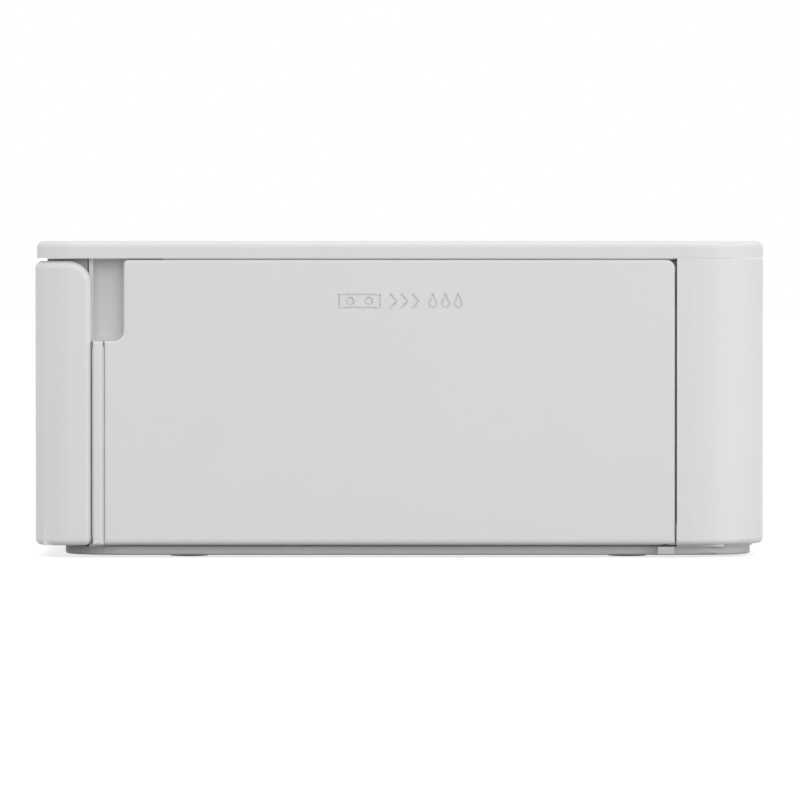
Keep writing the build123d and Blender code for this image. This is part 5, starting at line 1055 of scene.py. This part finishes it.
@dataclass
class InkCassette:
    """The ribbon cassette: its case with grip ribs on the outer end, spools and ribbon."""

    outer: float = 79.0
    grip_low: float = 31.0
    grip_high: float = 44.0
    middle: float = 13.0
    ribs: int = 7
    rib_step: float = 3.0
    rib_depth: float = 0.5
    rib_width: float = 1.1

    def build(self) -> None:
        """Dress the case, spools and ribbon, and set the grip ribs."""
        dress("ink_cassette_case", Finish.CASSETTE)
        for node in ("supply_spool", "takeup_spool", "ribbon_film"):
            dress(node, Finish.FILM)
        first = (self.outer + 0.1, self.middle - self.rib_step * (self.ribs - 1) / 2,
                 (self.grip_low + self.grip_high) / 2)
        size = (self.rib_depth, self.rib_width, self.grip_high - self.grip_low)
        BlockRow("cassette_grip_ribs", first, (0.0, self.rib_step, 0.0), self.ribs, size, Finish.CASSETTE,
                 "ink_cassette").build()


# --- studio ---------------------------------------------------------------------------------
@dataclass(frozen=True)
class SoftLamp:
    """A rectangular lamp that faces the printer; places and sizes are in metres."""

    name: str
    place: tuple[float, float, float]
    size: tuple[float, float]
    power: float
    aim: tuple[float, float, float] = (0.0, 0.0, 0.03)

    def build(self) -> None:
        """Hang the lamp."""
        data = bpy.data.lights.new(self.name, "AREA")
        data.shape = "RECTANGLE"
        data.size, data.size_y = self.size
        data.energy = self.power
        lamp = bpy.data.objects.new(self.name, data)
        lamp.location = self.place
        lamp.rotation_euler = (Vector(self.aim) - lamp.location).to_track_quat("-Z", "Y").to_euler()
        bpy.context.scene.collection.objects.link(lamp)


def seen_directly(nodes: NodeBuilder) -> bpy.types.NodeSocket:
    """A value of 1 for what the camera sees, also in gloss and through glass, and 0 for light."""
    path = nodes.add("ShaderNodeLightPath")
    total = path.outputs["Is Camera Ray"]
    for name in ("Is Glossy Ray", "Is Transmission Ray"):
        total = nodes.computed("MAXIMUM", total, path.outputs[name])
    return total


@dataclass
class Studio:
    """The camera at the photograph's viewpoint, soft lamps and a pale floor; sizes in mm."""

    distance: float = 1500.0
    eye_height: float = 54.1
    aim_height: float = 28.7
    view_width: float = 145.3
    fill: float = 0.68
    floor_glow: float = 0.75
    floor_tone: float = 0.42
    floor_reach: float = 6000.0
    floor_level: float = -0.02          # just below the feet
    lamps: tuple[SoftLamp, ...] = (
        SoftLamp("overhead", (0.15, 0.0, 0.9), (0.9, 0.9), 1.8),
        SoftLamp("door_side", (1.3, 0.2, 0.5), (0.7, 0.7), 3.9),
        SoftLamp("rear_edge", (0.75, 0.983, 0.12), (0.12, 0.8), 3.4),
        SoftLamp("rear_side", (0.27, 1.182, 0.12), (0.12, 0.8), 2.6),
        SoftLamp("front_side", (0.27, -1.182, 0.12), (0.12, 0.8), 3.2),
    )

    def camera(self) -> None:
        """Look square at the ink door's side from just under the top cover's height."""
        data = bpy.data.cameras.new("camera")
        data.sensor_width = 36.0
        data.lens = data.sensor_width * self.distance / self.view_width
        data.clip_end = 20.0
        eye = bpy.data.objects.new("camera", data)
        eye.location = Vector((HALF_WIDTH + self.distance, 0, self.eye_height)) * MM
        aim = Vector((HALF_WIDTH, 0, self.aim_height)) * MM - eye.location
        eye.rotation_euler = aim.to_track_quat("-Z", "Y").to_euler()
        bpy.context.scene.collection.objects.link(eye)
        bpy.context.scene.camera = eye

    def world(self) -> None:
        """Light evenly from all round, and show white to the camera, in gloss and through glass."""
        world = bpy.data.worlds.new("studio")
        world.use_nodes = True
        nodes = NodeBuilder(world.node_tree)
        fill = nodes.tree.nodes["Background"]
        fill.inputs["Color"].default_value = (1, 1, 1, 1)
        fill.inputs["Strength"].default_value = self.fill
        white = nodes.add("ShaderNodeBackground", Color=(1, 1, 1, 1), Strength=1.0)
        mix = nodes.add("ShaderNodeMixShader", Fac=seen_directly(nodes))
        nodes.feed(mix.inputs[1], fill.outputs[0])
        nodes.feed(mix.inputs[2], white.outputs[0])
        nodes.feed(nodes.tree.nodes["World Output"].inputs["Surface"], mix.outputs[0])
        bpy.context.scene.world = world

    def floor(self) -> None:
        """Lay a pale floor that keeps the printer's shadow and fades into the white behind it."""
        reach, low = self.floor_reach, self.floor_level
        corners = [(-reach, -reach, low), (reach, -reach, low), (reach, reach, low), (-reach, reach, low)]
        floor = bpy.data.objects.new("floor", plain_mesh("floor", corners, [range(4)]))
        bpy.context.scene.collection.objects.link(floor)
        shader = ShaderBuilder("pale_floor")
        shader.set(Base_Color=(*[self.floor_tone] * 3, 1), Roughness=0.9, Specular_IOR_Level=0.1)
        level = shader.computed("MULTIPLY", seen_directly(shader), self.floor_glow)
        glow = shader.add("ShaderNodeEmission", Strength=level)
        total = shader.add("ShaderNodeAddShader")
        shader.feed(total.inputs[0], shader.surface.outputs[0])
        shader.feed(total.inputs[1], glow.outputs[0])
        shader.feed(shader.tree.nodes["Material Output"].inputs["Surface"], total.outputs[0])
        floor.data.materials.append(shader.material)

    def build(self) -> None:
        """Set up the view, camera, lamps, world and floor."""
        bpy.context.scene.view_settings.view_transform = "Standard"
        self.camera()
        self.world()
        self.floor()
        for lamp in self.lamps:
            lamp.build()


def main() -> None:
    """Dress every piece of the printer and set up the studio."""
    logging.basicConfig(level=logging.INFO, format="%(message)s")
    Shell().dress()
    DoorMark().build()
    TopPanel().build()
    Underside().build()
    Electronics().build()
    Mechanism().build()
    InkCassette().build()
    Studio().build()


if __name__ == "__main__":
    main()
